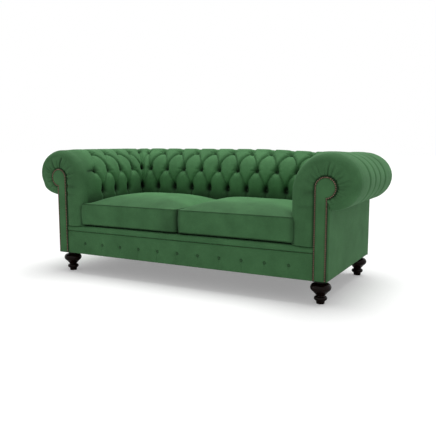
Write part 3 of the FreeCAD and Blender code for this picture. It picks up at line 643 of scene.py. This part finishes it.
def arm_pattern():
    first, run = 0.1275, 0.029
    pitch = (INNER_Y - Y_FRONT - first - run) / 7
    at = {k: first + (k - 1) * pitch for k in range(1, 9)}
    row_a = {k: (at[k], T_A) for k in (2, 4, 6, 8)}
    row_b = {k: (at[k], T_B) for k in (1, 3, 5, 7)}
    row_c = {k: (at[k], T_C) for k in (2, 4, 6)}
    last = at[8]
    mitre_c, mitre_b = corner_points(last, run)
    creases, buttons, falls = lattice(row_a, row_b, row_c)
    creases += [(row_b[7], mitre_c), (row_a[8], mitre_b)]
    pleats = [(u, 0.0) for u, _ in row_a.values()]
    return Pad(first - pitch, pitch, last, run, buttons, creases, pleats, falls, False, (first, 0.075))


# Steps of the grids: in each gap of the lattice, round the corner, round an arm's rim and on its flat front
STEPS, CORNER_STEPS, FRONT_TURN_STEPS, FRONT_FLAT_STEPS = 20, 44, 13, 30
FRONT_TURN = 0.040


def across_steps():
    """Places across the section, so that the creases between buttons run through the grid's corners."""
    gaps = [(0, T_C, 26), (T_C, T_B, STEPS), (T_B, T_A, STEPS)]
    parts = [np.linspace(low, high, steps, endpoint=False) for low, high, steps in gaps]
    return np.concatenate(parts + [np.linspace(T_A, T_END, 92)])


ACROSS = across_steps()


def placed_section(t, height):
    out, z, n_out, n_z = section_at(t)
    return out + n_out * height, z + n_z * height


def raised(pad, u):
    """For a grid of u: the place of each point across the section, and its height with the fine pulls."""
    t = np.repeat(ACROSS[:, None], u.shape[1], axis=1)
    return t, pad.height(u, t) + wrinkles(u, t, pad)


def straight_and_corner(pad, straight):
    """For each place across the section, the u of every column: straight ones, then shares of the corner."""
    shares = np.linspace(0, 1, CORNER_STEPS + 1)[1:]
    total = pad.mitre(ACROSS)[:, None] - pad.last
    return np.concatenate([np.tile(straight, (len(ACROSS), 1)), pad.last + shares * total], axis=1)


def brushed(t, amount):
    """Painted light inside the sofa, and painted shade low down near the seat; none behind the crest."""
    painted_levels = np.interp(t, [T_C - 0.04, T_C + 0.035, T_B - 0.012, T_B + 0.02], [-0.48, 1.1, 1.3, 1.0])
    return amount * painted_levels * (1 - smooth(t, T_A + 0.03, T_TOP + 0.06))


def place(pad, u, t, height, arm):
    """X, Y and Z of points at heights over the section. arm is zero for the back; an arm is built on the right."""
    v = pad.unsigned(u)
    out, z = placed_section(pad.bend(u, t), height)
    ratio = path_length(pad.run, out) / (pad.mitre(t) - pad.last)
    along, across = round_corner(pad.run, out, (v - pad.last) * ratio)
    corner = v > pad.last
    if arm:
        return INNER_X + np.where(corner, across, out), np.where(corner, INNER_Y + along, Y_FRONT + u), z
    return np.where(corner, INNER_X + along, v) * np.sign(u), INNER_Y + np.where(corner, across, out), z


def back_upholstery():
    pad = back_pattern()
    right = straight_and_corner(pad, np.linspace(0, pad.last, 9 * STEPS + 1))
    u = np.concatenate([-right[:, :0:-1], right], axis=1)
    t, height = raised(pad, u)
    verts = settled(np.stack(place(pad, u, t, height, 0), axis=-1), 0)
    shades = {"cavity": pad.cavity(u, t), "brush": brushed(t, BACK_PAINTED_LIGHT)}
    obj = velvet_object("back_upholstery", verts, creased_faces(height), **shades)
    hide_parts("back_pad")
    thicken(obj, PAD_SHELL)
    return pad


def wrinkles(u, t, pad):
    """Fine pulls in the cloth: they radiate from the buttons and die out within a few centimetres."""
    v = pad.unsigned(u)
    height = np.zeros_like(u)
    for index, ((u0, t0), _) in enumerate(pad.buttons):
        r = np.hypot(v - u0, t - t0)
        pulls = 0.0019 * np.cos(7 * np.arctan2(t - t0, v - u0) + index * 1.7)
        height += np.where(r < 0.06, bell(r - 0.019, 0.014) * pulls, 0)
    return height


def keyhole_edge(out, z):
    """Where the cloth of an arm's front goes under the facing, for a point of the rim."""
    dx, dz = out - KEY_OUT, z - KEY_Z
    size = np.hypot(dx, dz)
    below = (z < KEY_Z) & (out < KEY_OUT)
    radius = KEY_R - 0.003
    key_out = np.where(below, KEY_OUT - radius, KEY_OUT + radius * dx / size)
    key_z = np.where(below, z, KEY_Z + radius * dz / size)
    return key_out, key_z


def front_folds(angle, share, seed, marked):
    """Small folds on an arm's front, gathered at the facing's head and dying out towards the rim.

    Each fold, marked ones too, is its angle and width in degrees, its reach, its depth and its bend.
    """
    rng = np.random.default_rng(seed)
    height = np.zeros_like(angle)
    places = np.linspace(-70, 205, 25) + rng.uniform(-4, 4, 25)
    folds = [
        (place, rng.uniform(2.2, 4.0), rng.uniform(0.45, 0.95), rng.uniform(0.0020, 0.0046), rng.uniform(-6, 6))
        for place in places
    ]
    for place, width, reach, depth, bend in folds + marked:
        d = (angle - place - bend * (1 - share)) / width
        fade = smooth(share, 1 - reach, 1 - 0.35 * reach) * smooth(share, 0.15, 0.35)
        height -= depth * fade * (bell(d, 1.0) - 0.5 * bell(d - 2.3, 1.5))
    return height


def front_rings():
    """Rings of an arm's front, from the facing's side of the rim: (inset, share of the rim's depth, flat share)."""
    rings = []
    for i in range(1, FRONT_TURN_STEPS + 1):
        a = math.pi / 2 * i / FRONT_TURN_STEPS
        rings.append((FRONT_TURN * (1 - math.cos(a)), 1 - math.sin(a), 0.0))
    for i in range(1, FRONT_FLAT_STEPS + 1):
        rings.append((None, 0.0, 1 - (1 - i / FRONT_FLAT_STEPS) ** 1.25))
    return rings


def arm_upholstery(side):
    pad = arm_pattern()
    first = pad.front[0]
    straight = np.concatenate([
        np.linspace(RIM, first, 20, endpoint=False), np.linspace(first, pad.last, 7 * STEPS + 1),
    ])
    u = straight_and_corner(pad, straight)
    t, height = raised(pad, u)
    x, y, z = place(pad, u, t, height, side)
    # The front, from the rim round to the facing
    rim_out, rim_z = x[:, 0] - INNER_X, z[:, 0]
    key_out, key_z = keyhole_edge(rim_out, rim_z)
    reach = np.hypot(key_out - rim_out, key_z - rim_z)
    start = np.minimum(FRONT_TURN / reach, 0.6)
    angle = np.degrees(np.arctan2(rim_z - KEY_Z, rim_out - KEY_OUT))
    angle = np.where(angle < -100, angle + 360, angle)
    angle = np.where((rim_z < KEY_Z) & (rim_out < KEY_OUT), 180 + (KEY_Z - rim_z) / 0.0035, angle)
    seed, fold_shade = (5, 60) if side > 0 else (6, 95)
    marked = [(84.0, 2.2, 0.85, 0.0045, -3.0)] if side > 0 else [(98.0, 3.0, 0.90, 0.0100, 3.0)]
    columns, painted_shades = [], []
    for inset, back, flat in front_rings():
        if inset is None:
            share = start + (1 - start) * flat
        else:
            share = np.minimum(inset / reach, 0.6 * inset / FRONT_TURN)
        near = smooth(flat, 0.80, 1.0)
        puff = -0.0100 * math.sin(math.pi * flat ** 1.35) ** 0.8 + 0.0040 * near
        fold_height = front_folds(angle, share, seed, marked)
        px = rim_out + (key_out - rim_out) * share
        pz = rim_z + (key_z - rim_z) * share
        columns.append(np.stack([INNER_X + px, Y_FRONT + RIM * back + puff - fold_height, pz], axis=-1))
        # Painted shade in the hollows of the folds, and in a ring beside the facing
        folded = fold_shade * np.minimum(fold_height, 0) * (flat > 0)
        painted_shades.append(np.clip(0.75 * near ** 2 - folded, 0, 0.85))
    cap = np.stack(columns[::-1], axis=1)
    verts = np.concatenate([cap, np.stack([x, y, z], axis=-1)], axis=1)
    cavity = np.concatenate([np.stack(painted_shades[::-1], axis=1), pad.cavity(u, t)], axis=1)
    # Painted shade along the corner of the seat cushion
    beside = np.exp(-np.maximum(verts[..., 0] - INNER_X - 0.019, 0) / 0.007)
    beside *= (1 - smooth(verts[..., 2], 0.405, 0.428)) * smooth(verts[..., 2], 0.290, 0.300)
    beside *= 1 - smooth(verts[..., 1] - Y_FRONT, 0.02, 0.06)
    cavity = np.maximum(cavity, 0.62 * beside)
    # Painted light inside the arm, turning to painted shade on its front
    inner = brushed(t, ARM_PAINTED_LIGHT) * smooth(u, RIM, first) + FRONT_PAINTED_SHADE * (1 - smooth(u, RIM, first))
    brush = np.concatenate([np.full(cap.shape[:2], FRONT_PAINTED_SHADE), inner], axis=1)
    level = np.concatenate([np.zeros(cap.shape[:2]), height], axis=1)
    verts[..., 0] *= side
    name = side_name(side)
    faces = creased_faces(level, side > 0)
    obj = velvet_object("arm_upholstery_" + name, settled(verts, side), faces, cavity=cavity, brush=brush)
    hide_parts("arm_pad_" + name)
    thicken(obj, PAD_SHELL)
    return pad


# Buttons
def button_mesh(radius, height):
    """A covered button: a soft dome with a rolled edge."""
    profile = [(0.35, 0.96), (0.66, 0.8), (0.88, 0.5), (1.0, 0.1), (0.97, -0.25), (0.8, -0.45)]
    sides = 20
    turns = [2 * math.pi * i / sides for i in range(sides)]
    verts = [(radius * r * math.cos(a), radius * r * math.sin(a), h * height) for r, h in profile for a in turns]
    verts = [(0, 0, height), *verts, (0, 0, -0.5 * height)]
    base = 1 + (len(profile) - 1) * sides
    faces = [(0, 1 + i, 1 + (i + 1) % sides) for i in range(sides)]
    faces += [(a, d, c, b) for a, b, c, d in ring_faces(len(profile), sides, 1)]
    faces += [(base + i, len(verts) - 1, base + (i + 1) % sides) for i in range(sides)]
    return verts, faces


def covered_buttons(name, shape, places):
    """Buttons of one shape, each at a position and turned to a direction, as one piece."""
    verts, faces = [], []
    base_verts, base_faces = shape
    for position, direction in places:
        turn = Vector(direction).to_track_quat("Z", "Y").to_matrix()
        offset = len(verts)
        verts += [Vector(position) + turn @ Vector(v) for v in base_verts]
        faces += [tuple(i + offset for i in face) for face in base_faces]
    return piece(name, new_mesh(name, verts, faces), "frame", SHADED_BUTTON_VELVET)


def pad_point(pad, u, t, above, arm=0):
    """A point and its outward direction on the back, or on the arm of a side."""
    u, t = np.array(u), np.array(t)
    at = np.array(place(pad, u, t, pad.height(u, t) + above, arm))
    _, _, n_out, n_z = section_at(t)
    if not arm:
        return settled(at, 0), (0.0, n_out, n_z)
    at[0] *= arm
    return settled(at, arm), (arm * n_out, 0.0, n_z)


BUTTON = button_mesh(0.0095, 0.0045)
BUTTON_LIFT, CORNER_BUTTON_LIFT = 0.0015, 0.004


def back_buttons(pad):
    places = []
    for (u, t), _ in pad.buttons:
        for sign in ((1,) if u == 0 else (1, -1)):
            places.append(pad_point(pad, sign * u, t, BUTTON_LIFT))
    for sign in (1, -1):
        for t in ROWS.values():
            at, (_, n_out, n_z) = pad_point(pad, sign * pad.mitre(t), t, CORNER_BUTTON_LIFT)
            places.append((at, Vector((sign * n_out, n_out, 2 * n_z)).normalized()))
    obj = covered_buttons("buttons_in_back", BUTTON, places)
    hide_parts("back_buttons")


def arm_buttons(pad, side):
    name = side_name(side)
    places = [pad_point(pad, u, t, BUTTON_LIFT, side) for (u, t), _ in pad.buttons]
    obj = covered_buttons("buttons_in_arm_" + name, BUTTON, places)
    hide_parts("arm_buttons_" + name)


# Keyhole facings
def keyhole_loop(inset):
    """The facing's outline, from the foot of its inner side round to that of its outer side."""
    r = KEY_R - inset
    outer = KEY_OUT - KEY_R + KEY_NECK - inset
    last = -math.acos((outer - KEY_OUT) / r)
    low = UNDER + inset * 0.4
    points = [(KEY_OUT - r, low + (KEY_Z - low) * i / 60) for i in range(60)]
    points += arc(KEY_OUT, KEY_Z, r, [math.pi + (last - math.pi) * i / 60 for i in range(61)])
    join = points[-1][1]
    points += [(outer, join + (low - join) * i / 50) for i in range(1, 51)]
    return np.array(points)


def facing(side):
    """The padded keyhole, with an edge that the nails press in, painted shade along that edge, and a little fullness
    in its middle.
    """
    face_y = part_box("facing_right")[0][1]
    # Of each ring: its inset, its depth behind the face and the painted shade on it
    edge = [
        (0.0, 0.008, 0.0), (0.0, 0.0045, 0.55), (0.0014, 0.0022, 0.8), (0.004, 0.0012, 0.95),
        (0.0075, 0.0016, 0.95), (0.012, 0.0002, 0.25), (0.017, -0.0012, 0.0), (0.023, -0.0020, 0.0),
    ]
    rings = [[(INNER_X + out, face_y + depth, z) for out, z in keyhole_loop(inset)] for inset, depth, _ in edge]
    count = len(rings[0])
    verts = np.array(rings)
    verts[..., 0] *= side
    faces = prism_faces(len(rings), count)
    if side < 0:
        faces = [face[::-1] for face in faces]
    name = side_name(side)
    obj = velvet_object("keyhole_facing_" + name, verts, faces, cavity=np.repeat([row[2] for row in edge], count))
    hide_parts("facing_" + name)


# Border, lip and flat outsides
BORDER_BUTTONS, BORDER_PITCH, BORDER_BUTTON_UP = 11, 0.131, 0.065
PANEL_TOP = TUCK_Z + 0.012


def front_border():
    """The buttoned front border: shallow pits, a soft pleat under each button and a little fullness between."""
    (x0, y0, z0), (x1, _, z1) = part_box("front_border")
    columns, rows = 460, 44
    x, z = np.meshgrid(np.linspace(x0, x1, columns), np.linspace(z0, z1, rows))
    button_z = z0 + BORDER_BUTTON_UP
    button_x = [(k - BORDER_BUTTONS // 2) * BORDER_PITCH for k in range(BORDER_BUTTONS)]
    depth = np.zeros_like(x)
    rng = np.random.default_rng(3)
    for cx in button_x:
        r = np.hypot(x - cx, z - button_z)
        depth += 0.0062 * bell(r, 0.013) + 0.0018 * bell(r, 0.034)
        lean = rng.uniform(-0.03, 0.03)
        d = x - cx - lean * (button_z - z)
        below = smooth(button_z - z, 0.0, 0.012)
        depth += below * (0.0022 * bell(d, 0.0028) - 0.0008 * bell(d - 0.009, 0.006))
        above = smooth(z - button_z, 0.0, 0.01) * (1 - smooth(z - button_z, 0.02, 0.05))
        depth += above * 0.0007 * bell(d, 0.003)
    # Both edges turn in to their seams
    depth += 0.004 * (1 - np.minimum(z1 - z, 0.02) / 0.02) ** 2
    depth += 0.005 * (1 - np.minimum(z - z0, 0.012) / 0.012) ** 2
    verts = np.stack([x, y0 - 0.0015 + depth, z], axis=-1)
    obj = velvet_object("front_border_cloth", verts, grid_faces(rows, columns))
    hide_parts("front_border")
    thicken(obj, BORDER_SHELL)
    places = [((cx, y0 + 0.0046, button_z), (0, -1, 0)) for cx in button_x]
    buttons = covered_buttons("buttons_in_border", button_mesh(0.0088, 0.0038), places)
    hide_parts("border_buttons")


def front_lip():
    """The padded ledge over the border: a closed profile of (y, z) with a roll, carried along X in soft waves."""
    (x0, y0, _), (x1, _, z1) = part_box("front_lip")
    low = HEM - 0.0003 - 0.034
    profile = [(y0 + 0.007, low)]
    for i in range(13):
        a = math.radians(-78 + i * 168 / 12)
        profile.append((y0 + 0.0125 - 0.0155 * math.cos(a), low + 0.0165 + 0.0165 * math.sin(a)))
    profile += [(y0 + 0.030, z1 - 0.0002), (y0 + 0.064, z1 - 0.0005), (y0 + 0.064, z1 - 0.02), (y0 + 0.011, low)]
    profile = np.array(profile[::-1])
    rng = np.random.default_rng(1)
    columns, ripple = 220, 0.0004
    xs = np.linspace(x0, x1, columns)
    wave = sum(rng.uniform(0.3, 1) * np.sin(xs * f + rng.uniform(0, 6)) for f in (11, 23, 41, 67)) * ripple
    upper = profile[:, 1] > profile[:, 1].mean()
    verts = [(x, y - w * up, z + 0.5 * w) for x, w in zip(xs, wave) for (y, z), up in zip(profile, upper)]
    obj = velvet_object("front_lip_cloth", verts, prism_faces(columns, len(profile)))
    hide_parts("front_lip")


def outside_panel(name, node, start, end, normal):
    """A flat upholstered outside: softened edges and very slight fullness between its seams."""
    (ax, ay), (bx, by) = start, end
    tall = PANEL_TOP - UNDER
    columns, rows = 120, 48
    s, h = np.meshgrid(np.linspace(0, 1, columns), np.linspace(0, 1, rows))
    width = math.hypot(bx - ax, by - ay)
    d = np.minimum.reduce([s * width, (1 - s) * width, h * tall])
    roll = 0.007
    sink = np.where(d < roll, roll - np.sqrt(np.maximum(roll ** 2 - (roll - d) ** 2, 0)), 0)
    puff = 0.0012 * np.sin(math.pi * s) * np.sin(math.pi * h) + 0.0004 * np.sin(37 * s) * np.sin(9 * h + 2 * s)
    x = ax + (bx - ax) * s + normal[0] * (puff - sink)
    y = ay + (by - ay) * s + normal[1] * (puff - sink)
    verts = np.stack([x, y, UNDER + tall * h], axis=-1)
    flip = (by - ay) * normal[0] < (bx - ax) * normal[1]
    obj = velvet_object(name, verts, grid_faces(rows, columns, flip))
    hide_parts(node)
    thicken(obj, PANEL_SHELL)


def outsides():
    for side in (1, -1):
        name = side_name(side)
        x = side * X_OUTER
        outside_panel("outside_arm_" + name, "outside_arm_panel_" + name, (x, Y_FRONT), (x, Y_OUTER), (side, 0))
        # A strip of cloth that closes the front of the panel's edge
        strip_x0, strip_x1 = sorted((side * (X_OUTER - 0.020), side * (X_OUTER - 0.0035)))
        s = np.linspace(0, 1, 8)
        h = np.linspace(UNDER + 0.002, TUCK_Z + 0.062, 60)
        grid = [(strip_x0 + (strip_x1 - strip_x0) * a, Y_FRONT + 0.0016 * (2 * a - 1) ** 2, z) for z in h for a in s]
        thicken(velvet_object("arm_front_edge_" + name, grid, grid_faces(60, 8)), EDGE_SHELL)
    outside_panel("outside_back", "outside_back_panel", (X_OUTER, Y_OUTER), (-X_OUTER, Y_OUTER), (0, 1))


# Seat cushions
CUSHION_END, WELT_UP, CROWN, EAR = 0.650, 0.125, 0.047, 0.027
CUSHION_STEPS, CUSHION_LEVELS = 56, 19
STUFF_FRAMES, STUFF_LIMIT = 20, 0.006


def stuff(obj, pinned):
    """Fills a cushion as pressed cloth held along its seams, and keeps each point's move within the limit."""
    scene = bpy.context.scene
    rest = points_of(obj.data)
    obj.vertex_groups.new(name="seams").add([int(i) for i in np.flatnonzero(pinned)], 1.0, "REPLACE")
    cloth = obj.modifiers.new("cloth", "CLOTH")
    settings = cloth.settings
    settings.vertex_group_mass = "seams"
    settings.quality = 5
    settings.tension_stiffness = settings.compression_stiffness = 15
    settings.bending_stiffness = 0.5
    settings.use_pressure = True
    settings.uniform_pressure_force = 3.0
    settings.effector_weights.gravity = 0.0
    cloth.collision_settings.use_collision = False
    cloth.point_cache.frame_start, cloth.point_cache.frame_end = 1, STUFF_FRAMES
    for number in range(1, STUFF_FRAMES + 1):
        scene.frame_set(number)
    filled = obj.evaluated_get(bpy.context.evaluated_depsgraph_get())
    move = points_of(filled.data) - rest
    obj.modifiers.remove(cloth)
    scene.frame_set(1)
    size = np.maximum(np.linalg.norm(move, axis=1), 1e-9)
    move *= (STUFF_LIMIT * np.tanh(size / STUFF_LIMIT) / size)[:, None]
    obj.data.vertices.foreach_set("co", (rest + move).ravel())
    obj.data.update()


def cushion(side):
    name = side_name(side)
    body = "cushion_" + name
    (_, y0, z0), (_, y1, _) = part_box("cushion_cover_" + name)
    # How far it passes the middle, how square its inner corners are, the waves and the painted shade beside the arm
    near_x, squareness, seed, beside_arm = (-0.0010, 40.0, 11, 0.45) if side > 0 else (-0.0070, 16.0, 12, 0.15)
    cx, cy = (CUSHION_END + near_x * side) / 2 * side, (y0 + y1) / 2 - 0.003
    hx, hy = (CUSHION_END - near_x * side) / 2, (y1 - y0) / 2 + 0.005
    welt_top = z0 + WELT_UP
    phases = np.random.default_rng(seed).uniform(0, 6.28, 12)

    def plan(u, v, swell):
        """A point of the plan: a square's point pushed into a rounded rectangle, with sides drawn in a little."""
        m = np.maximum(np.maximum(np.abs(u), np.abs(v)), 1e-6)
        du, dv = np.abs(u) / m, np.abs(v) / m
        power = np.where(u * side > 0, 60.0, squareness)
        s = np.maximum(du ** power + dv ** power, 0.01) ** (-1 / power)
        draw = 0.004 * (1 - np.minimum(du, dv) ** 2)
        ear = smooth(-v, 0.80, 1.0) * smooth(u * side, 0.86, 1.0)
        px = u * s * (hx + swell - draw * (du > dv)) + EAR * ear * side
        py = v * s * (hy + swell - draw * (dv >= du)) - 0.006 * ear
        return cx + px, cy + py

    even = np.linspace(-1, 1, CUSHION_STEPS + 1)
    line = 0.55 * np.sin(even * math.pi / 2) + 0.45 * even
    uu, vv = np.meshgrid(line, line)
    form = ((1 - np.abs(uu) ** 4.2) * (1 - np.abs(vv) ** 3.0)) ** 0.8
    soft = 0.0022 * np.sin(3.1 * uu + phases[0]) * np.sin(2.7 * vv + phases[1])
    soft += 0.0011 * np.sin(7.3 * uu + 2 * vv + phases[2]) * np.sin(6.1 * vv + phases[3])
    bm = bmesh.new()

    def sheet(xs, ys, zs, flip):
        verts = [bm.verts.new((float(x), float(y), float(z))) for x, y, z in zip(xs.flat, ys.flat, zs.flat)]
        for face in grid_faces(*xs.shape, flip):
            bm.faces.new([verts[i] for i in face])

    tx, ty = plan(uu, vv, 0.0)
    sheet(tx, ty, welt_top + CROWN * form + soft * form, False)
    sheet(tx, ty, z0 + 0.0012 * (1 - uu ** 8) * (1 - vv ** 8), True)
    # The border, all round
    ring = [(a, -1.0) for a in line[:-1]] + [(1.0, a) for a in line[:-1]]
    ring += [(-a, 1.0) for a in line[:-1]] + [(-1.0, -a) for a in line[:-1]] + [(-1.0, -1.0)]
    ring = np.array(ring)
    ru, h = np.meshgrid(ring[:, 0], np.linspace(0, 1, CUSHION_LEVELS))
    rv = np.broadcast_to(ring[:, 1], h.shape)
    around = np.arctan2(rv * hy, ru * hx)
    behind = smooth(rv, 0.98, 1.0)
    swell = 0.0045 * np.sin(math.pi * h) * (1 - 2.4 * behind)
    pucker = sum(np.sin(around * f + p) for f, p in zip((61, 83, 107, 139), phases[4:])) / 4
    swell += 0.0007 * pucker * np.sin(math.pi * h) ** 0.5 * (1 - h * 0.3) * (1 - behind)
    swell += 0.0012 * np.sin(around * 5 + phases[9]) * np.sin(math.pi * h) * (1 - behind)
    sx, sy = plan(ru, rv, swell)
    sheet(sx, sy, z0 + (welt_top - z0) * h, False)
    bmesh.ops.remove_doubles(bm, verts=bm.verts, dist=0.00005)
    bmesh.ops.recalc_face_normals(bm, faces=bm.faces)
    mesh = bpy.data.meshes.new("seat_cushion_" + name)
    bm.to_mesh(mesh)
    bm.free()
    obj = piece("seat_cushion_" + name, mesh, body)
    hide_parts("cushion_cover_" + name, "cushion_core_" + name)
    at = points_of(mesh)
    top = at[:, 2] > welt_top + 0.0015
    front = (at[:, 1] < cy - hy + 0.016) & (at[:, 2] > z0 + 0.012) & (at[:, 2] < welt_top - 0.003)
    stuff(obj, ~(top | front))
    # Painted shade where the two cushions meet, and a little beside the arm
    at = points_of(mesh)
    outward = (at[:, 0] - cx) * side
    cavity = 0.55 * smooth(-outward, hx - 0.030, hx - 0.001)
    cavity += beside_arm * smooth(outward, hx - 0.008, hx + 0.024)
    cavity *= smooth(welt_top - at[:, 2], -0.004, 0.004)
    # Painted light on the top: painted shade to the front and a painted sheen on the crown
    depths = [-1.0, -0.76, -0.63, -0.55, -0.47, -0.37, -0.2, 0.5]
    painted_levels = [-0.14, -0.12, -0.08, 0.02, 0.14, 0.25, 0.33, 0.40]
    brush = np.interp((at[:, 1] - cy) / hy, depths, painted_levels)
    upper = smooth(at[:, 2], welt_top - 0.003, welt_top + 0.003)
    # The left cushion's border gets painted shade towards the join
    if side < 0:
        brush = np.where(upper > 0, brush, -0.27 * smooth(-outward, hx - 0.17, hx - 0.05))
    else:
        brush *= upper
    set_shades(mesh, cavity=cavity, brush=brush)
    # Piping along both edges of the border
    px, py = plan(ring[:-1, 0], ring[:-1, 1], -0.0004)
    wave = 0.0007 * np.sin(around[0, :-1] * 17 + phases[10])
    loops = [np.stack([px, py, z + wave * 0.5], axis=-1) for z in (z0 + 0.0028, welt_top - 0.0004)]
    cord = piece("piping_" + name, cords("piping_" + name, loops, 0.0022), body, SHADED_PIPING_VELVET)
    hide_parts("cushion_piping_" + name)


def cords(name, loops, radius):
    """Round cord swept along closed loops."""
    sides = 8
    verts, faces = [], []
    for loop in loops:
        ahead = np.roll(loop, -1, 0) - np.roll(loop, 1, 0)
        ahead /= np.linalg.norm(ahead, axis=1)[:, None]
        across = np.cross(ahead, (0.0, 0.0, 1.0))
        across /= np.linalg.norm(across, axis=1)[:, None]
        over = np.cross(across, ahead)
        faces += [(a, d, c, b) for a, b, c, d in ring_faces(len(loop), sides, len(verts), True)]
        for point, beside, above in zip(loop, across, over):
            for k in range(sides):
                a = 2 * math.pi * k / sides
                verts.append(point + radius * (math.cos(a) * beside + math.sin(a) * above))
    return new_mesh(name, verts, faces)


BACK = back_upholstery()
back_buttons(BACK)
for SIDE in (1, -1):
    ARM_PAD = arm_upholstery(SIDE)
    arm_buttons(ARM_PAD, SIDE)
    facing(SIDE)
    cushion(SIDE)
front_border()
front_lip()
outsides()


# Camera, floor and light
FLOOR_GLOW, WORLD_LIGHT = 0.27, 0.45


def camera():
    data = bpy.data.cameras.new("camera")
    data.sensor_width = 36.0
    data.lens = 47.061
    obj = add_object("camera", data)
    azimuth, elevation = math.radians(28.207), math.radians(7.583)
    level = math.cos(elevation)
    look = Vector((-math.sin(azimuth) * level, math.cos(azimuth) * level, -math.sin(elevation)))
    obj.location = (1.66038, -3.08372, 0.79604)
    obj.rotation_euler = look.to_track_quat("-Z", "Y").to_euler()
    bpy.context.scene.camera = obj


def sun(name, direction, strength, angle):
    data = bpy.data.lights.new(name, "SUN")
    data.energy = strength
    data.angle = math.radians(angle)
    obj = add_object(name, data)
    obj.rotation_euler = Vector(direction).to_track_quat("-Z", "Y").to_euler()


def floor():
    size = 30.0
    corners = [(-size, -size, 0), (size, -size, 0), (size, size, 0), (-size, size, 0)]
    mesh = new_mesh("floor", corners, [(0, 1, 2, 3)])
    obj = add_object("floor", mesh)
    mat, tree, bsdf = nodes_of("floor")
    set_inputs(bsdf, {
        "Base Color": (0.78, 0.78, 0.78, 1), "Emission Color": (1, 1, 1, 1),
        "Roughness": 0.9, "Specular IOR Level": 0.1,
    })
    rays = tree.nodes.new("ShaderNodeLightPath").outputs
    seen = math_node(tree, "MULTIPLY", rays["Is Camera Ray"], FLOOR_GLOW)
    link(tree, seen, bsdf.inputs["Emission Strength"])
    mesh.materials.append(mat)


def world():
    data = bpy.data.worlds.new("world")
    bpy.context.scene.world = data
    data.use_nodes = True
    tree = data.node_tree
    background = tree.nodes["Background"]
    rays = tree.nodes.new("ShaderNodeLightPath").outputs
    seen = math_node(tree, "MAXIMUM", rays["Is Camera Ray"], rays["Is Glossy Ray"])
    seen = math_node(tree, "MAXIMUM", seen, rays["Is Transmission Ray"])
    level = math_node(tree, "ADD", math_node(tree, "MULTIPLY", seen, 1 - WORLD_LIGHT), WORLD_LIGHT)
    set_inputs(background, {"Color": (1, 1, 1, 1)})
    link(tree, level, background.inputs["Strength"])


camera()
floor()
world()
sun("key", (-0.04, -0.20, -1.0), 2.1, 40)
sun("side", (-0.9, -0.1, -0.45), 0.04, 40)
bpy.context.scene.view_settings.view_transform = "Standard"
